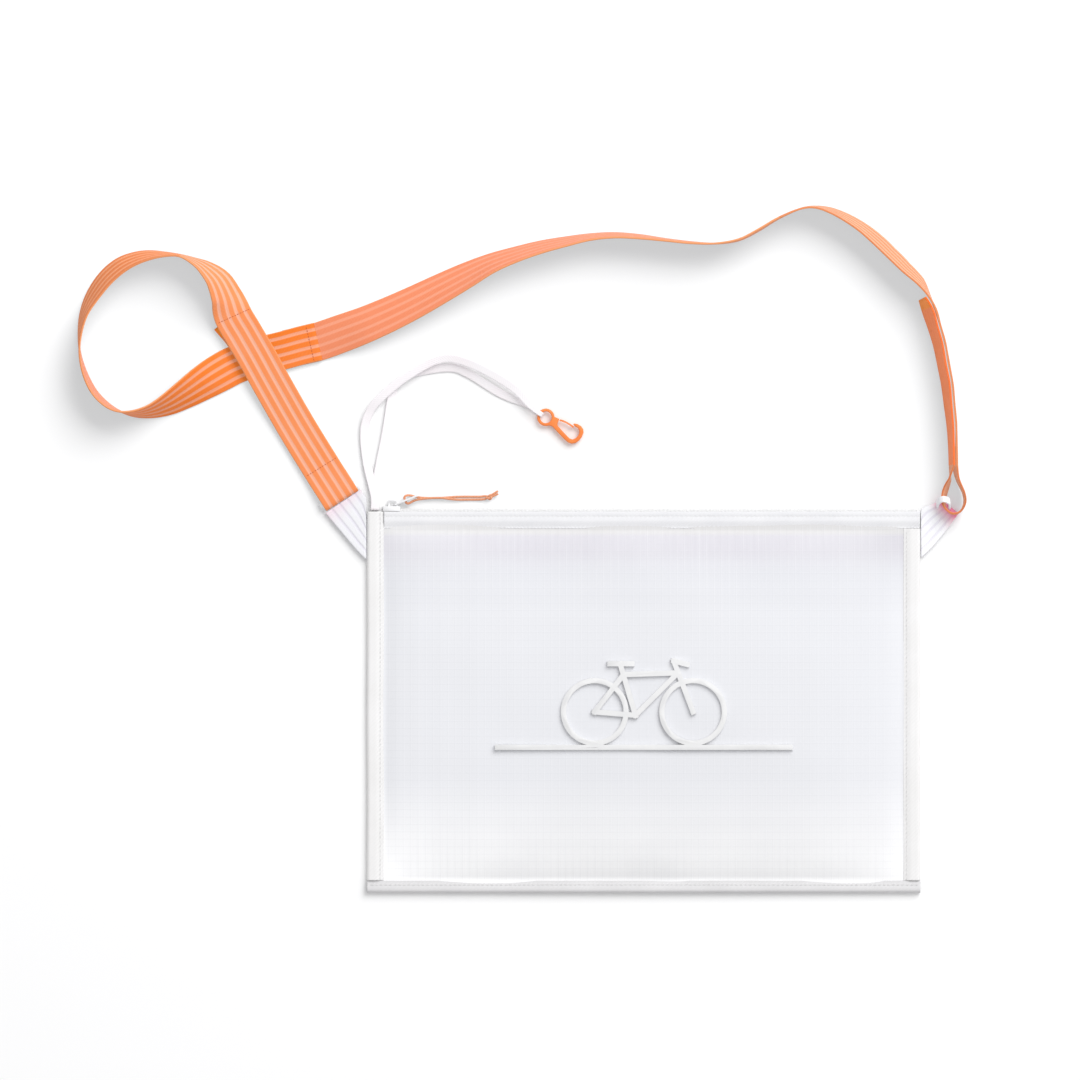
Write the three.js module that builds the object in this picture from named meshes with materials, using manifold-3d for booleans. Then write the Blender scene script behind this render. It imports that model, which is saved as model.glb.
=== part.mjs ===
// Cycling musette bag lying on its back. +Y is the bag's top edge, +X its right side, +Z up.
// The origin is on the surface it lies on, under the middle of the bag.
import * as THREE from 'three';
import { mergeVertices } from 'three/addons/utils/BufferGeometryUtils.js';
import Module from 'manifold-3d';

const wasm = await Module();
wasm.setup();

// The pouch
const BAG_WIDTH = 360;
const BAG_HEIGHT = 248;
const BAG_CROWN = 12;
const CLOTH = 1.0;
const TAPE = 1.0;
const GAP = 0.3;
const BINDING_WIDTH = 11;
const BAND_WIDTH = 11;
const HEM_DEPTH = 8;
const CROWN_START = 1.0;
const BACK_STEP = 5;

// The shoulder strap
const WEBBING_WIDTH = 25;
const WEBBING_THICK = 1.6;
const STRAP_RISE = 198;
const STRAP_STEP = 10;
const LAYER_STEP = WEBBING_THICK + GAP;
const FOLD_STEPS = 5;

// The white tabs that hold the strap
const TAB_THICK = 2.2;
const TAB_LIFT = 1.6;
const TAB_EAR = 1.5;
const TAB_BAR_WIDTH = 4;
const TAB_BAR_SETBACK = 1.6;
const TAB_EAR_BACK = 3.6;
const TAB_EAR_AHEAD = 4.4;
const HOOP_WIDTH = 4;
const HOOP_THICK = 1.2;

// The lanyard and its snap hook
const LANYARD_WIDTH = 5.5;
const LANYARD_THICK = 1.0;
const LANYARD_STEP = 9;
const LANYARD_EYE_WIDTH = 3.2;
const LANYARD_EYE_LEAD = 3.2;
const HOOK_LENGTH = 26.6;
const HOOK_THICK = 2.4;
const HOOK_BEVEL = 0.4;
const HOOK_HEADING = -33;
const EYE_OUTER = 5.7;
const EYE_INNER = 3.8;
const GATE_THICK = 1.15;

// The zip
const COIL_DEPTH = 3.7;
const COIL_OVER = 2;
const SLIDER_LENGTH = 11;
const SLIDER_WALL = 0.8;
const SLIDER_TOP = 1.2;
const BRIDGE_LEG = 1.2;
const BRIDGE_OPEN = 4;
const BRIDGE_RISE = 3.1;
const BRIDGE_DEPTH = 1.6;
const PULL_LENGTH = 18;
const PULL_WIDTH = 3.6;
const PULL_THICK = 1.2;
const PULL_HEADING = 22;
const PULL_PITCH = 10;
const CORD_DIAMETER = 1.5;
const CORD_SIDES = 8;
const CORD_STEP = 3.6;
const KNOT_RADIUS = 2.2;
const KNOT_HEADING = 24;

// The raised badge on the front
const BADGE_WIDTH = 190;
const BADGE_THICK = 2;
const BADGE_LINE = 3.4;
const WHEEL_RADIUS = 22;
const BADGE_LIFT = 6;

// Heights of the four layers that meet along the bag's edges
const BACK_EDGE = TAPE + GAP;
const FRONT_EDGE = BACK_EDGE + CLOTH + GAP;
const TOP_EDGE = FRONT_EDGE + CLOTH + GAP;
const EDGE_STACK = TOP_EDGE + TAPE;

const HALF_WIDTH = BAG_WIDTH / 2;
const HALF_HEIGHT = BAG_HEIGHT / 2;
const UP = new THREE.Vector3(0, 0, 1);
const radians = THREE.MathUtils.degToRad;

// Crown of the front wall: share of the way from the middle to the margin, share of the crown
const CROWN = [
  [0, 1],
  [0.3, 0.985],
  [0.5, 0.93],
  [0.65, 0.84],
  [0.78, 0.68],
  [0.88, 0.47],
  [0.95, 0.24],
  [1, 0],
];

// Half of the webbing's section, from its edge to its middle: share of width, share of thickness.
// Four shallow grooves part the five ribs on the face.
const WEBBING_FACE = [
  [0.5, 0.5],
  [0.369, 0.5],
  [0.326, 0.25],
  [0.283, 0.5],
  [0.152, 0.5],
  [0.109, 0.25],
  [0.066, 0.5],
];

// Strap routes: share of the bag's width from its left edge, share of the strap's rise above the
// bag's top edge, roll in degrees, layers of webbing underneath, share of the webbing's width
const LEFT_ROUTE = [
  [-0.048, 0.047, 0, 2.21, 1],
  [-0.061, 0.084, 0, 1.85, 1],
  [-0.080, 0.138, 0, 1.15, 1],
  [-0.127, 0.277, 0, 1, 1],
  [-0.172, 0.420, 0, 2, 1],
  [-0.199, 0.509, 0, 2.4, 1],
  [-0.222, 0.582, 0, 2.4, 1],
  [-0.241, 0.641, 6, 1.9, 1],
  [-0.252, 0.702, 36, 0.1, 1],
  [-0.267, 0.758, 51, 0, 1],
  [-0.289, 0.797, 67, 0, 1],
  [-0.310, 0.820, 79, 0, 1],
  [-0.336, 0.839, 86, 0, 1],
  [-0.365, 0.843, 82, 0, 1],
  [-0.392, 0.840, 74.5, 0, 1],
  [-0.418, 0.829, 68.5, 0, 1],
  [-0.445, 0.806, 63.5, 0, 1],
  [-0.471, 0.765, 63, 0, 1],
  [-0.494, 0.708, 67, 0, 1],
  [-0.510, 0.648, 75.5, 0, 1],
  [-0.517, 0.582, 82.5, 0, 1],
  [-0.517, 0.519, 88, 0, 1],
  [-0.508, 0.453, 93, 0, 1],
  [-0.492, 0.394, 95.5, 0, 1],
  [-0.470, 0.352, 95.3, 0, 1],
  [-0.447, 0.329, 91.5, 0, 1],
  [-0.420, 0.321, 82.5, 0, 1],
  [-0.389, 0.329, 71.5, 0, 1],
  [-0.358, 0.352, 57.5, 0, 1],
  [-0.325, 0.388, 43, 0, 1],
  [-0.292, 0.427, 26, 0, 1],
  [-0.262, 0.460, 8, 0, 1],
  [-0.236, 0.484, 0, 0, 1],
  [-0.190, 0.512, 0, 0.25, 1],
  [-0.150, 0.530, 0, 1, 1],
  [-0.118, 0.546, 0, 1, 1],
  [-0.088, 0.559, 0, 1, 1],
];

// The folded-back layer under the start of the left route
const LEFT_RETURN = [
  [-0.048, 0.047, 0, 0, 1],
  [-0.061, 0.084, 0, 0, 1],
  [-0.080, 0.138, 0, 0, 1],
  [-0.127, 0.277, 0, 0, 1],
  [-0.172, 0.420, 0, 0.8, 1],
  [-0.199, 0.509, 0, 1.3, 1],
  [-0.224, 0.582, 0, 1.3, 1],
  [-0.2495, 0.638, 0, 0.9, 1],
];

const RIGHT_ROUTE = [
  [-0.145, 0.534, 0, 0, 1],
  [-0.114, 0.547, 0, 0, 1],
  [-0.089, 0.558, 0, 0, 1],
  [-0.049, 0.583, -6, 0, 1],
  [-0.004, 0.613, -17, 0, 1],
  [0.042, 0.649, -24, 0, 1],
  [0.088, 0.689, -31, 0, 1],
  [0.133, 0.731, -38.5, 0, 1],
  [0.178, 0.773, -47, 0, 1],
  [0.223, 0.813, -58, 0, 1],
  [0.269, 0.843, -65.5, 0, 1],
  [0.314, 0.867, -70, 0, 1],
  [0.359, 0.885, -74.5, 0, 1],
  [0.403, 0.900, -79, 0, 1],
  [0.448, 0.906, -81, 0, 1],
  [0.494, 0.901, -82.5, 0, 1],
  [0.539, 0.891, -85, 0, 1],
  [0.584, 0.882, -86, 0, 1],
  [0.629, 0.879, -88, 0, 1],
  [0.671, 0.891, -90, 0, 1],
  [0.705, 0.921, -91, 0, 1],
  [0.743, 0.962, -90, 0, 1],
  [0.783, 0.993, -88, 0, 1],
  [0.810, 0.998, -85.5, 0, 1],
  [0.837, 0.987, -80, 0, 1],
  [0.864, 0.965, -76, 0, 1],
  [0.892, 0.934, -73, 0, 1],
  [0.919, 0.895, -70, 0, 1],
  [0.946, 0.848, -70, 0, 1],
  [0.971, 0.797, -75, 0, 1],
  [0.993, 0.748, -86, 0, 1],
  [1.007, 0.703, -97, 0, 1],
  [1.018, 0.657, -103, 0, 1],
  [1.027, 0.605, -101, 0, 1],
  [1.036, 0.549, -100.5, 0, 1],
  [1.043, 0.483, -99, 0, 1],
  [1.050, 0.417, -99, 0, 1],
  [1.054, 0.351, -97.5, 0, 1],
  [1.058, 0.285, -96, 0, 1],
  [1.060, 0.219, -94.5, 0, 1],
  [1.061, 0.153, -94, 0, 1],
];

// The small open loop at the right tab, where the webbing is gathered
const LOOP_ROUTE = [
  [1.061, 0.153, -94, 0, 1],
  [1.066, 0.107, -91, 0.2, 0.96],
  [1.077, 0.061, -90, 0.9, 0.8],
  [1.079, 0.028, -90, 1.8, 0.62],
  [1.071, 0.000, -88, 2.5, 0.46],
  [1.057, -0.007, -88, 2.5, 0.42],
  [1.045, 0.010, -95, 2.5, 0.4],
  [1.041, 0.035, -104, 2.5, 0.42],
  [1.044, 0.068, -106, 2.1, 0.5],
  [1.052, 0.105, -96, 0.8, 0.78],
];
const FLAP_ROW = 31;

// White tabs: share of the bag's width out from its edge, share of the strap's rise above the
// bag's top edge, share of the webbing's width, heading in degrees away from the bag
const RIGHT_TAB = [
  [0, -0.077, 1.2, 0],
  [0.020, -0.038, 0.92, 24],
  [0.040, -0.005, 0.68, 43],
  [0.053, 0.017, 0.58, 50],
];
const LEFT_TAB = [
  [0, -0.078, 1.28, 0],
  [0.018, -0.024, 1.15, 26],
  [0.034, 0.014, 1.09, 45],
  [0.0422, 0.0333, 1.1, 56.4],
];

// Arch of the right tab over the strap's edge: share of the bag's width out from its edge, share
// of the strap's rise above its top edge, share of the webbing's width above the surface
const HOOP_ROUTE = [
  [0.0305, 0.018, 0.11],
  [0.0305, 0.024, 0.32],
  [0.0320, 0.034, 0.57],
  [0.0375, 0.040, 0.68],
  [0.0445, 0.039, 0.685],
  [0.0505, 0.033, 0.57],
  [0.0525, 0.023, 0.32],
  [0.0520, 0.016, 0.11],
];

// Lanyard strands, from the bag's corner to the hook's eye: share of the bag's width from its
// left edge, share of the strap's rise above its top edge, roll in degrees, height of the lower
// edge as a share of the tape's width, share of its width
const LANYARD_UPPER = [
  [0.014, 0.0042, 0, 0.46, 1],
  [0.014, 0.051, 8, 0.4, 1],
  [0.000, 0.160, 24, 0.12, 1],
  [-0.005, 0.256, 30, 0.1, 1],
  [0.0025, 0.318, 32, 0.35, 1],
  [0.0235, 0.371, 32, 0.75, 1],
  [0.074, 0.446, 30, 0.9, 1],
  [0.137, 0.502, 30, 0.8, 1],
  [0.195, 0.479, 28, 0.75, 1],
  [0.262, 0.410, 20, 0.8, 1],
  [0.2955, 0.3485, 8, 0.8, 0.85],
];
const LANYARD_LOWER = [
  [0.014, 0.0042, 0, 0.2, 1],
  [0.0155, 0.032, 6, 0.14, 1],
  [0.0195, 0.120, 24, 0.06, 1],
  [0.034, 0.256, 30, 0.06, 1],
  [0.046, 0.388, 30, 0.06, 1],
  [0.053, 0.417, 30, 0.06, 1],
  [0.0815, 0.453, 30, 0.06, 1],
  [0.1465, 0.473, 30, 0.06, 1],
  [0.183, 0.453, 28, 0.06, 1],
  [0.242, 0.388, 18, 0.05, 1],
  [0.2955, 0.3485, 6, 0.03, 0.85],
];

// Hook outline from its neck round to the gate's root: shares of the hook's length along and to
// the side of its axis, from the middle of the eye
const HOOK_OUTLINE = [
  [0.259, -0.103],
  [0.496, -0.162],
  [0.677, -0.203],
  [0.789, -0.222],
  [0.887, -0.193],
  [0.955, -0.128],
  [0.992, -0.030],
  [1.000, 0.083],
  [0.981, 0.184],
  [0.925, 0.256],
  [0.842, 0.288],
  [0.737, 0.284],
  [0.662, 0.252],
  [0.658, 0.222],
  [0.729, 0.201],
  [0.797, 0.209],
  [0.868, 0.169],
  [0.906, 0.094],
  [0.898, -0.019],
  [0.846, -0.098],
  [0.763, -0.117],
  [0.504, -0.056],
  [0.350, -0.011],
  [0.316, 0.034],
  [0.312, 0.098],
  [0.297, 0.147],
  [0.241, 0.139],
];
const GATE_LINE = [
  [0.336, 0.133],
  [0.398, 0.154],
  [0.496, 0.169],
  [0.602, 0.173],
  [0.699, 0.165],
];

// Knot: share of its radius out from its axis, share of its radius along it
const KNOT = [
  [0, -1.05],
  [0.7, -0.95],
  [1, -0.35],
  [0.95, 0.4],
  [0.6, 0.95],
  [0.58, 2.5],
  [0, 2.6],
];

const bagX = (share) => share * BAG_WIDTH - HALF_WIDTH;
const riseY = (share) => HALF_HEIGHT + share * STRAP_RISE;

// Closed solid through rings of points; the first ring's flat outline triangulates both ends
function loft(rings, outline) {
  const count = outline.length;
  const points = rings.flat().flatMap((spot) => [spot.x, spot.y, spot.z]);
  const faces = [];
  for (let ring = 0; ring < rings.length - 1; ring += 1) {
    for (let side = 0; side < count; side += 1) {
      const a = ring * count + side;
      const b = ring * count + ((side + 1) % count);
      faces.push(a, b, b + count, a, b + count, a + count);
    }
  }
  const flat = outline.map(([u, v]) => new THREE.Vector2(u, v));
  const last = (rings.length - 1) * count;
  for (const [a, b, c] of THREE.ShapeUtils.triangulateShape(flat, [])) {
    faces.push(c, b, a);
    faces.push(last + a, last + b, last + c);
  }
  const geometry = new THREE.BufferGeometry();
  geometry.setAttribute('position', new THREE.Float32BufferAttribute(points, 3));
  geometry.setIndex(faces);
  geometry.computeVertexNormals();
  return geometry;
}

// Ribbed webbing section, anticlockwise, with its ribbed face on the up side
function webbingOutline() {
  const left = WEBBING_FACE.map(([u, v]) => [-u, v]).reverse();
  return [[-0.5, -0.5], [0.5, -0.5], ...WEBBING_FACE, ...left];
}

const FLAT_OUTLINE = [[-0.5, -0.5], [0.5, -0.5], [0.5, 0.5], [-0.5, 0.5]];

// Ribbon through frames: each has a place, the direction across it, its face's normal, its width
function ribbon(frames, outline, thick) {
  const rings = frames.map(({ place, across, face, width }) => outline.map(([u, v]) => (
    place.clone().addScaledVector(across, u * width).addScaledVector(face, v * thick)
  )));
  return loft(rings, outline);
}

// Frames along a route of plan points with roll, lift and width; side -1 turns the face down
function routeFrames(rows, spotOf, thick, step, side) {
  const spots = rows.map(spotOf);
  const plan = spots.map((spot) => new THREE.Vector3(spot.x, spot.y, 0));
  const pose = spots.map((spot) => new THREE.Vector3(spot.roll, spot.lift, spot.width));
  const planCurve = new THREE.CatmullRomCurve3(plan, false, 'catmullrom', 0.5);
  const poseCurve = new THREE.CatmullRomCurve3(pose, false, 'catmullrom', 0.5);
  const frames = [];
  const add = (share, row) => {
    const place = planCurve.getPoint(share);
    const travel = planCurve.getTangent(share);
    const { x: roll, y: lift, z: width } = poseCurve.getPoint(share);
    const left = new THREE.Vector3().crossVectors(UP, travel).normalize();
    const turn = radians(roll);
    const across = left.clone().multiplyScalar(Math.cos(turn)).addScaledVector(UP, Math.sin(turn));
    const face = UP.clone().multiplyScalar(Math.cos(turn)).addScaledVector(left, -Math.sin(turn));
    place.z = Math.max(lift, 0) + width / 2 * Math.abs(Math.sin(turn));
    place.z += thick / 2 * Math.abs(Math.cos(turn));
    across.multiplyScalar(side);
    face.multiplyScalar(side);
    frames.push({ place, across, face, width, row });
  };
  const last = rows.length - 1;
  for (let row = 0; row < last; row += 1) {
    const parts = Math.max(1, Math.round(plan[row].distanceTo(plan[row + 1]) / step));
    for (let part = 0; part < parts; part += 1) {
      add((row + part / parts) / last, row + part / parts);
    }
  }
  add(1, last);
  return frames;
}

// The same layer walked the other way, face down
function turnedBack(frames) {
  return frames.map((frame) => ({ ...frame, face: frame.face.clone().negate() })).reverse();
}

// Half-circle fold between two layers, bulging along `out`; `from` is the layer it starts at
function foldFrames(from, to, out, steps) {
  const middle = from.place.clone().add(to.place).multiplyScalar(0.5);
  const arm = from.place.clone().sub(to.place).multiplyScalar(0.5);
  const radius = arm.length();
  arm.normalize();
  const frames = [];
  for (let step = 1; step < steps; step += 1) {
    const turn = Math.PI * step / steps;
    const face = arm.clone().multiplyScalar(Math.cos(turn)).addScaledVector(out, Math.sin(turn));
    const place = middle.clone().addScaledVector(face, radius);
    frames.push({ place, across: from.across.clone(), face, width: from.width });
  }
  return frames;
}

function strapSpot([across, up, roll, layers, width]) {
  return {
    x: bagX(across),
    y: riseY(up),
    roll,
    lift: layers * LAYER_STEP,
    width: width * WEBBING_WIDTH,
  };
}

function lanyardSpot([across, up, roll, height, width]) {
  return {
    x: bagX(across),
    y: riseY(up),
    roll,
    lift: height * LANYARD_WIDTH,
    width: width * LANYARD_WIDTH,
  };
}

function solid(geometry) {
  const copy = geometry.clone();
  copy.deleteAttribute('normal');
  copy.deleteAttribute('uv');
  const merged = mergeVertices(copy, 1e-4);
  const mesh = new wasm.Mesh({
    numProp: 3,
    vertProperties: Float32Array.from(merged.attributes.position.array),
    triVerts: Uint32Array.from(merged.index.array),
  });
  return new wasm.Manifold(mesh);
}

function geometryOf(body) {
  const mesh = body.getMesh();
  const geometry = new THREE.BufferGeometry();
  geometry.setAttribute('position', new THREE.BufferAttribute(mesh.vertProperties, 3));
  geometry.setIndex(new THREE.BufferAttribute(mesh.triVerts, 1));
  geometry.computeVertexNormals();
  return geometry;
}

function union(geometries) {
  return geometries.map(solid).reduce((whole, part) => whole.add(part));
}

function box(x0, x1, y0, y1, z0, z1) {
  const geometry = new THREE.BoxGeometry(x1 - x0, y1 - y0, z1 - z0);
  return geometry.translate((x0 + x1) / 2, (y0 + y1) / 2, (z0 + z1) / 2);
}

const shapeOf = (points) => new THREE.Shape(points.map(([u, v]) => new THREE.Vector2(u, v)));

// Prism along Y from a section in X and Z
function alongY(section, y0, y1) {
  const settings = { depth: y1 - y0, bevelEnabled: false };
  const geometry = new THREE.ExtrudeGeometry(shapeOf(section), settings);
  return geometry.rotateX(Math.PI / 2).translate(0, y1, 0);
}

// Prism along X from a section in Y and Z
function alongX(section, x0, x1) {
  const settings = { depth: x1 - x0, bevelEnabled: false };
  const geometry = new THREE.ExtrudeGeometry(shapeOf(section), settings);
  const turn = new THREE.Matrix4().makeBasis(
    new THREE.Vector3(0, 1, 0),
    new THREE.Vector3(0, 0, 1),
    new THREE.Vector3(1, 0, 0),
  );
  return geometry.applyMatrix4(turn).translate(x0, 0, 0);
}

// Thin wall over a grid of x and y, from its underside's height
function wall(xs, ys, underside, thick) {
  const points = [];
  for (const lift of [thick, 0]) {
    for (const y of ys) {
      for (const x of xs) {
        points.push(x, y, underside(x, y) + lift);
      }
    }
  }
  const columns = xs.length;
  const rows = ys.length;
  const under = columns * rows;
  const at = (column, row) => row * columns + column;
  const faces = [];
  for (let row = 0; row < rows - 1; row += 1) {
    for (let column = 0; column < columns - 1; column += 1) {
      const a = at(column, row);
      const b = at(column + 1, row);
      const c = at(column + 1, row + 1);
      const d = at(column, row + 1);
      faces.push(a, b, c, a, c, d);
      faces.push(under + c, under + b, under + a, under + d, under + c, under + a);
    }
  }
  const edge = [];
  for (let column = 0; column < columns - 1; column += 1) {
    edge.push([at(column, 0), at(column + 1, 0)]);
    edge.push([at(column + 1, rows - 1), at(column, rows - 1)]);
  }
  for (let row = 0; row < rows - 1; row += 1) {
    edge.push([at(columns - 1, row), at(columns - 1, row + 1)]);
    edge.push([at(0, row + 1), at(0, row)]);
  }
  for (const [a, b] of edge) {
    faces.push(under + a, under + b, b, under + a, b, a);
  }
  const geometry = new THREE.BufferGeometry();
  geometry.setAttribute('position', new THREE.Float32BufferAttribute(points, 3));
  geometry.setIndex(faces);
  geometry.computeVertexNormals();
  return geometry;
}

// Extent of the walls, and of the crowned field inside the sewn margins
const WALL_SIDE = HALF_WIDTH - TAPE - GAP;
const WALL_FOOT = -HALF_HEIGHT + TAPE + GAP;
const COIL_START = HALF_HEIGHT + COIL_OVER - COIL_DEPTH;
const WALL_HEAD = COIL_START - GAP;
const FIELD_SIDE = HALF_WIDTH - BINDING_WIDTH - CROWN_START;
const FIELD_FOOT = -HALF_HEIGHT + HEM_DEPTH + CROWN_START;
const FIELD_HEAD = HALF_HEIGHT - BAND_WIDTH - CROWN_START;
const FIELD_MIDDLE = (FIELD_FOOT + FIELD_HEAD) / 2;
const FIELD_HALF = (FIELD_HEAD - FIELD_FOOT) / 2;

function crownShare(distance) {
  if (distance >= 1) {
    return 0;
  }
  const next = CROWN.findIndex(([share]) => share > distance);
  const [s0, h0] = CROWN[next - 1];
  const [s1, h1] = CROWN[next];
  return h0 + (h1 - h0) * (distance - s0) / (s1 - s0);
}

function crownAt(x, y) {
  const side = crownShare(Math.abs(x) / FIELD_SIDE);
  const height = crownShare(Math.abs(y - FIELD_MIDDLE) / FIELD_HALF);
  return BAG_CROWN * side * height;
}

function frontPanel() {
  const shares = [...CROWN.map(([share]) => -share).reverse(), ...CROWN.slice(1).map(([share]) => share)];
  const xs = [-WALL_SIDE, ...shares.map((share) => share * FIELD_SIDE), WALL_SIDE];
  const ys = [WALL_FOOT, ...shares.map((share) => FIELD_MIDDLE + share * FIELD_HALF), WALL_HEAD];
  return wall(xs, ys, (x, y) => FRONT_EDGE + crownAt(x, y), CLOTH);
}

function backPanel() {
  const xs = [-WALL_SIDE, -FIELD_SIDE, -FIELD_SIDE + BACK_STEP, FIELD_SIDE - BACK_STEP, FIELD_SIDE, WALL_SIDE];
  const ys = [WALL_FOOT, FIELD_FOOT, FIELD_FOOT + BACK_STEP, FIELD_HEAD - BACK_STEP, FIELD_HEAD, WALL_HEAD];
  const inner = (x, y) => Math.abs(x) <= FIELD_SIDE - BACK_STEP && y >= FIELD_FOOT + BACK_STEP
    && y <= FIELD_HEAD - BACK_STEP;
  return wall(xs, ys, (x, y) => (inner(x, y) ? 0 : BACK_EDGE), CLOTH);
}

// Folded tape in section: `reach` deep, its fold at `outer` and its legs towards `inner`
function foldedTape(outer, reach, inward) {
  const fold = TAPE * 0.9;
  const at = (depth) => outer + inward * depth;
  return [
    [at(fold), 0],
    [at(reach), 0],
    [at(reach), TAPE],
    [at(TAPE), TAPE],
    [at(TAPE), TOP_EDGE],
    [at(reach), TOP_EDGE],
    [at(reach), EDGE_STACK],
    [at(fold), EDGE_STACK],
    [at(0), EDGE_STACK - fold],
    [at(0), fold],
  ];
}

const BINDING_FOOT = -HALF_HEIGHT + HEM_DEPTH + GAP;
const BAND_LEFT = -HALF_WIDTH + BINDING_WIDTH + GAP;
const BAND_FOOT = HALF_HEIGHT - BAND_WIDTH;

const leftBinding = alongY(foldedTape(-HALF_WIDTH, BINDING_WIDTH, 1), BINDING_FOOT, HALF_HEIGHT);
const rightBinding = alongY(foldedTape(HALF_WIDTH, BINDING_WIDTH, -1), BINDING_FOOT, BAND_FOOT - GAP);
const bottomHem = alongX(foldedTape(-HALF_HEIGHT, HEM_DEPTH, 1), -HALF_WIDTH, HALF_WIDTH);
const tapeFront = box(BAND_LEFT, HALF_WIDTH, BAND_FOOT, HALF_HEIGHT, TOP_EDGE, EDGE_STACK);
const tapeBack = box(BAND_LEFT, HALF_WIDTH, BAND_FOOT, HALF_HEIGHT, 0, TAPE);

// Zip coil between the two tapes, with its corners taken off
const COIL_FLOOR = TAPE + GAP;
const COIL_ROOF = TOP_EDGE - GAP;
const COIL_END = HALF_HEIGHT + COIL_OVER;
const coilCut = (COIL_ROOF - COIL_FLOOR) / 4;
const zipCoil = alongX([
  [COIL_START, COIL_FLOOR],
  [COIL_END - coilCut, COIL_FLOOR],
  [COIL_END, COIL_FLOOR + coilCut],
  [COIL_END, COIL_ROOF - coilCut],
  [COIL_END - coilCut, COIL_ROOF],
  [COIL_START, COIL_ROOF],
], BAND_LEFT, HALF_WIDTH - TAPE - GAP);

// Slider: a channel round the coil, with a bridge that holds the pull
const SLIDER_LEFT = -HALF_WIDTH + BINDING_WIDTH - TAPE / 2;
const SLIDER_RIGHT = SLIDER_LEFT + SLIDER_LENGTH;
const SLIDER_ROOF = COIL_END + GAP + SLIDER_TOP;
const BRIDGE_LEFT = SLIDER_LEFT + SLIDER_LENGTH * 0.3;
const BRIDGE_MIDDLE = (COIL_FLOOR + COIL_ROOF) / 2;

function sliderGeometry() {
  const near = COIL_FLOOR - GAP - SLIDER_WALL;
  const far = COIL_ROOF + GAP + SLIDER_WALL;
  const channel = alongX([
    [HALF_HEIGHT + GAP, near],
    [SLIDER_ROOF, near],
    [SLIDER_ROOF, far],
    [HALF_HEIGHT + GAP, far],
    [HALF_HEIGHT + GAP, far - SLIDER_WALL],
    [COIL_END + GAP, far - SLIDER_WALL],
    [COIL_END + GAP, near + SLIDER_WALL],
    [HALF_HEIGHT + GAP, near + SLIDER_WALL],
  ], SLIDER_LEFT, SLIDER_RIGHT);
  const bottom = BRIDGE_MIDDLE - BRIDGE_DEPTH / 2;
  const top = BRIDGE_MIDDLE + BRIDGE_DEPTH / 2;
  const legRight = BRIDGE_LEFT + BRIDGE_LEG + BRIDGE_OPEN;
  const bar = SLIDER_ROOF + BRIDGE_RISE;
  const leg = (x) => box(x, x + BRIDGE_LEG, SLIDER_ROOF - SLIDER_TOP / 2, bar, bottom, top);
  const crossbar = box(BRIDGE_LEFT, legRight + BRIDGE_LEG, bar, bar + BRIDGE_LEG, bottom, top);
  return geometryOf(union([channel, leg(BRIDGE_LEFT), leg(legRight), crossbar]));
}

// Pull: a narrow plate on edge, slotted round the bridge's leg and drilled for the cord
const PULL_SLOT_START = 0.8;
const PULL_SLOT_LENGTH = 2.7;
const PULL_SLOT_HEIGHT = 2.3;
const PULL_HOLE = PULL_LENGTH * 0.45;
const PULL_HOLE_RADIUS = 1.15;
const pullTurn = new THREE.Matrix4().makeRotationZ(radians(PULL_HEADING))
  .multiply(new THREE.Matrix4().makeRotationY(-radians(PULL_PITCH)));
const pullForward = new THREE.Vector3(1, 0, 0).applyMatrix4(pullTurn);
const pullSide = new THREE.Vector3(0, 1, 0).applyMatrix4(pullTurn);
const legMiddle = new THREE.Vector3(
  BRIDGE_LEFT + BRIDGE_LEG * 1.5 + BRIDGE_OPEN,
  SLIDER_ROOF + BRIDGE_RISE / 2,
  BRIDGE_MIDDLE,
);
const pullStart = legMiddle.clone().addScaledVector(
  pullForward,
  -(PULL_SLOT_START + PULL_SLOT_LENGTH / 2),
);

function pullGeometry() {
  const end = PULL_WIDTH / 2;
  const cut = end * 0.45;
  const plate = shapeOf([
    [cut, -end],
    [PULL_LENGTH - cut, -end],
    [PULL_LENGTH, -end + cut],
    [PULL_LENGTH, end - cut],
    [PULL_LENGTH - cut, end],
    [cut, end],
    [0, end - cut],
    [0, -end + cut],
  ]);
  const half = PULL_SLOT_HEIGHT / 2;
  plate.holes.push(new THREE.Path([
    new THREE.Vector2(PULL_SLOT_START, -half),
    new THREE.Vector2(PULL_SLOT_START, half),
    new THREE.Vector2(PULL_SLOT_START + PULL_SLOT_LENGTH, half),
    new THREE.Vector2(PULL_SLOT_START + PULL_SLOT_LENGTH, -half),
  ]));
  const hole = new THREE.Path();
  hole.absarc(PULL_HOLE, 0, PULL_HOLE_RADIUS, 0, Math.PI * 2, true);
  plate.holes.push(hole);
  const settings = { depth: PULL_THICK, bevelEnabled: false, curveSegments: 8 };
  const geometry = new THREE.ExtrudeGeometry(plate, settings);
  return geometry.translate(0, 0, -PULL_THICK / 2).rotateX(Math.PI / 2);
}

// Cord: two strands from the pull's hole to the knot, as points in millimetres
const cordHole = pullStart.clone().addScaledVector(pullForward, PULL_HOLE);
const cordEntry = (side, distance, drop) => cordHole.clone()
  .addScaledVector(pullSide, side * distance).add(new THREE.Vector3(0, 0, -drop));
const CORD_NEAR = [
  cordEntry(-1, GAP / 2, 0),
  cordEntry(-1, 1.7, 0.1),
  new THREE.Vector3(-153.0, 129.3, 3.7),
  new THREE.Vector3(-149.4, 131.1, 2.9),
  new THREE.Vector3(-144.5, 132.2, 2.6),
  new THREE.Vector3(-132.0, 132.9, 2.6),
  new THREE.Vector3(-127.0, 132.3, 2.3),
  new THREE.Vector3(-121.5, 131.8, 1.5),
  new THREE.Vector3(-114.0, 131.8, 0.9),
  new THREE.Vector3(-106.0, 131.9, 1.1),
  new THREE.Vector3(-103.2, 132.2, 1.4),
];
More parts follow.
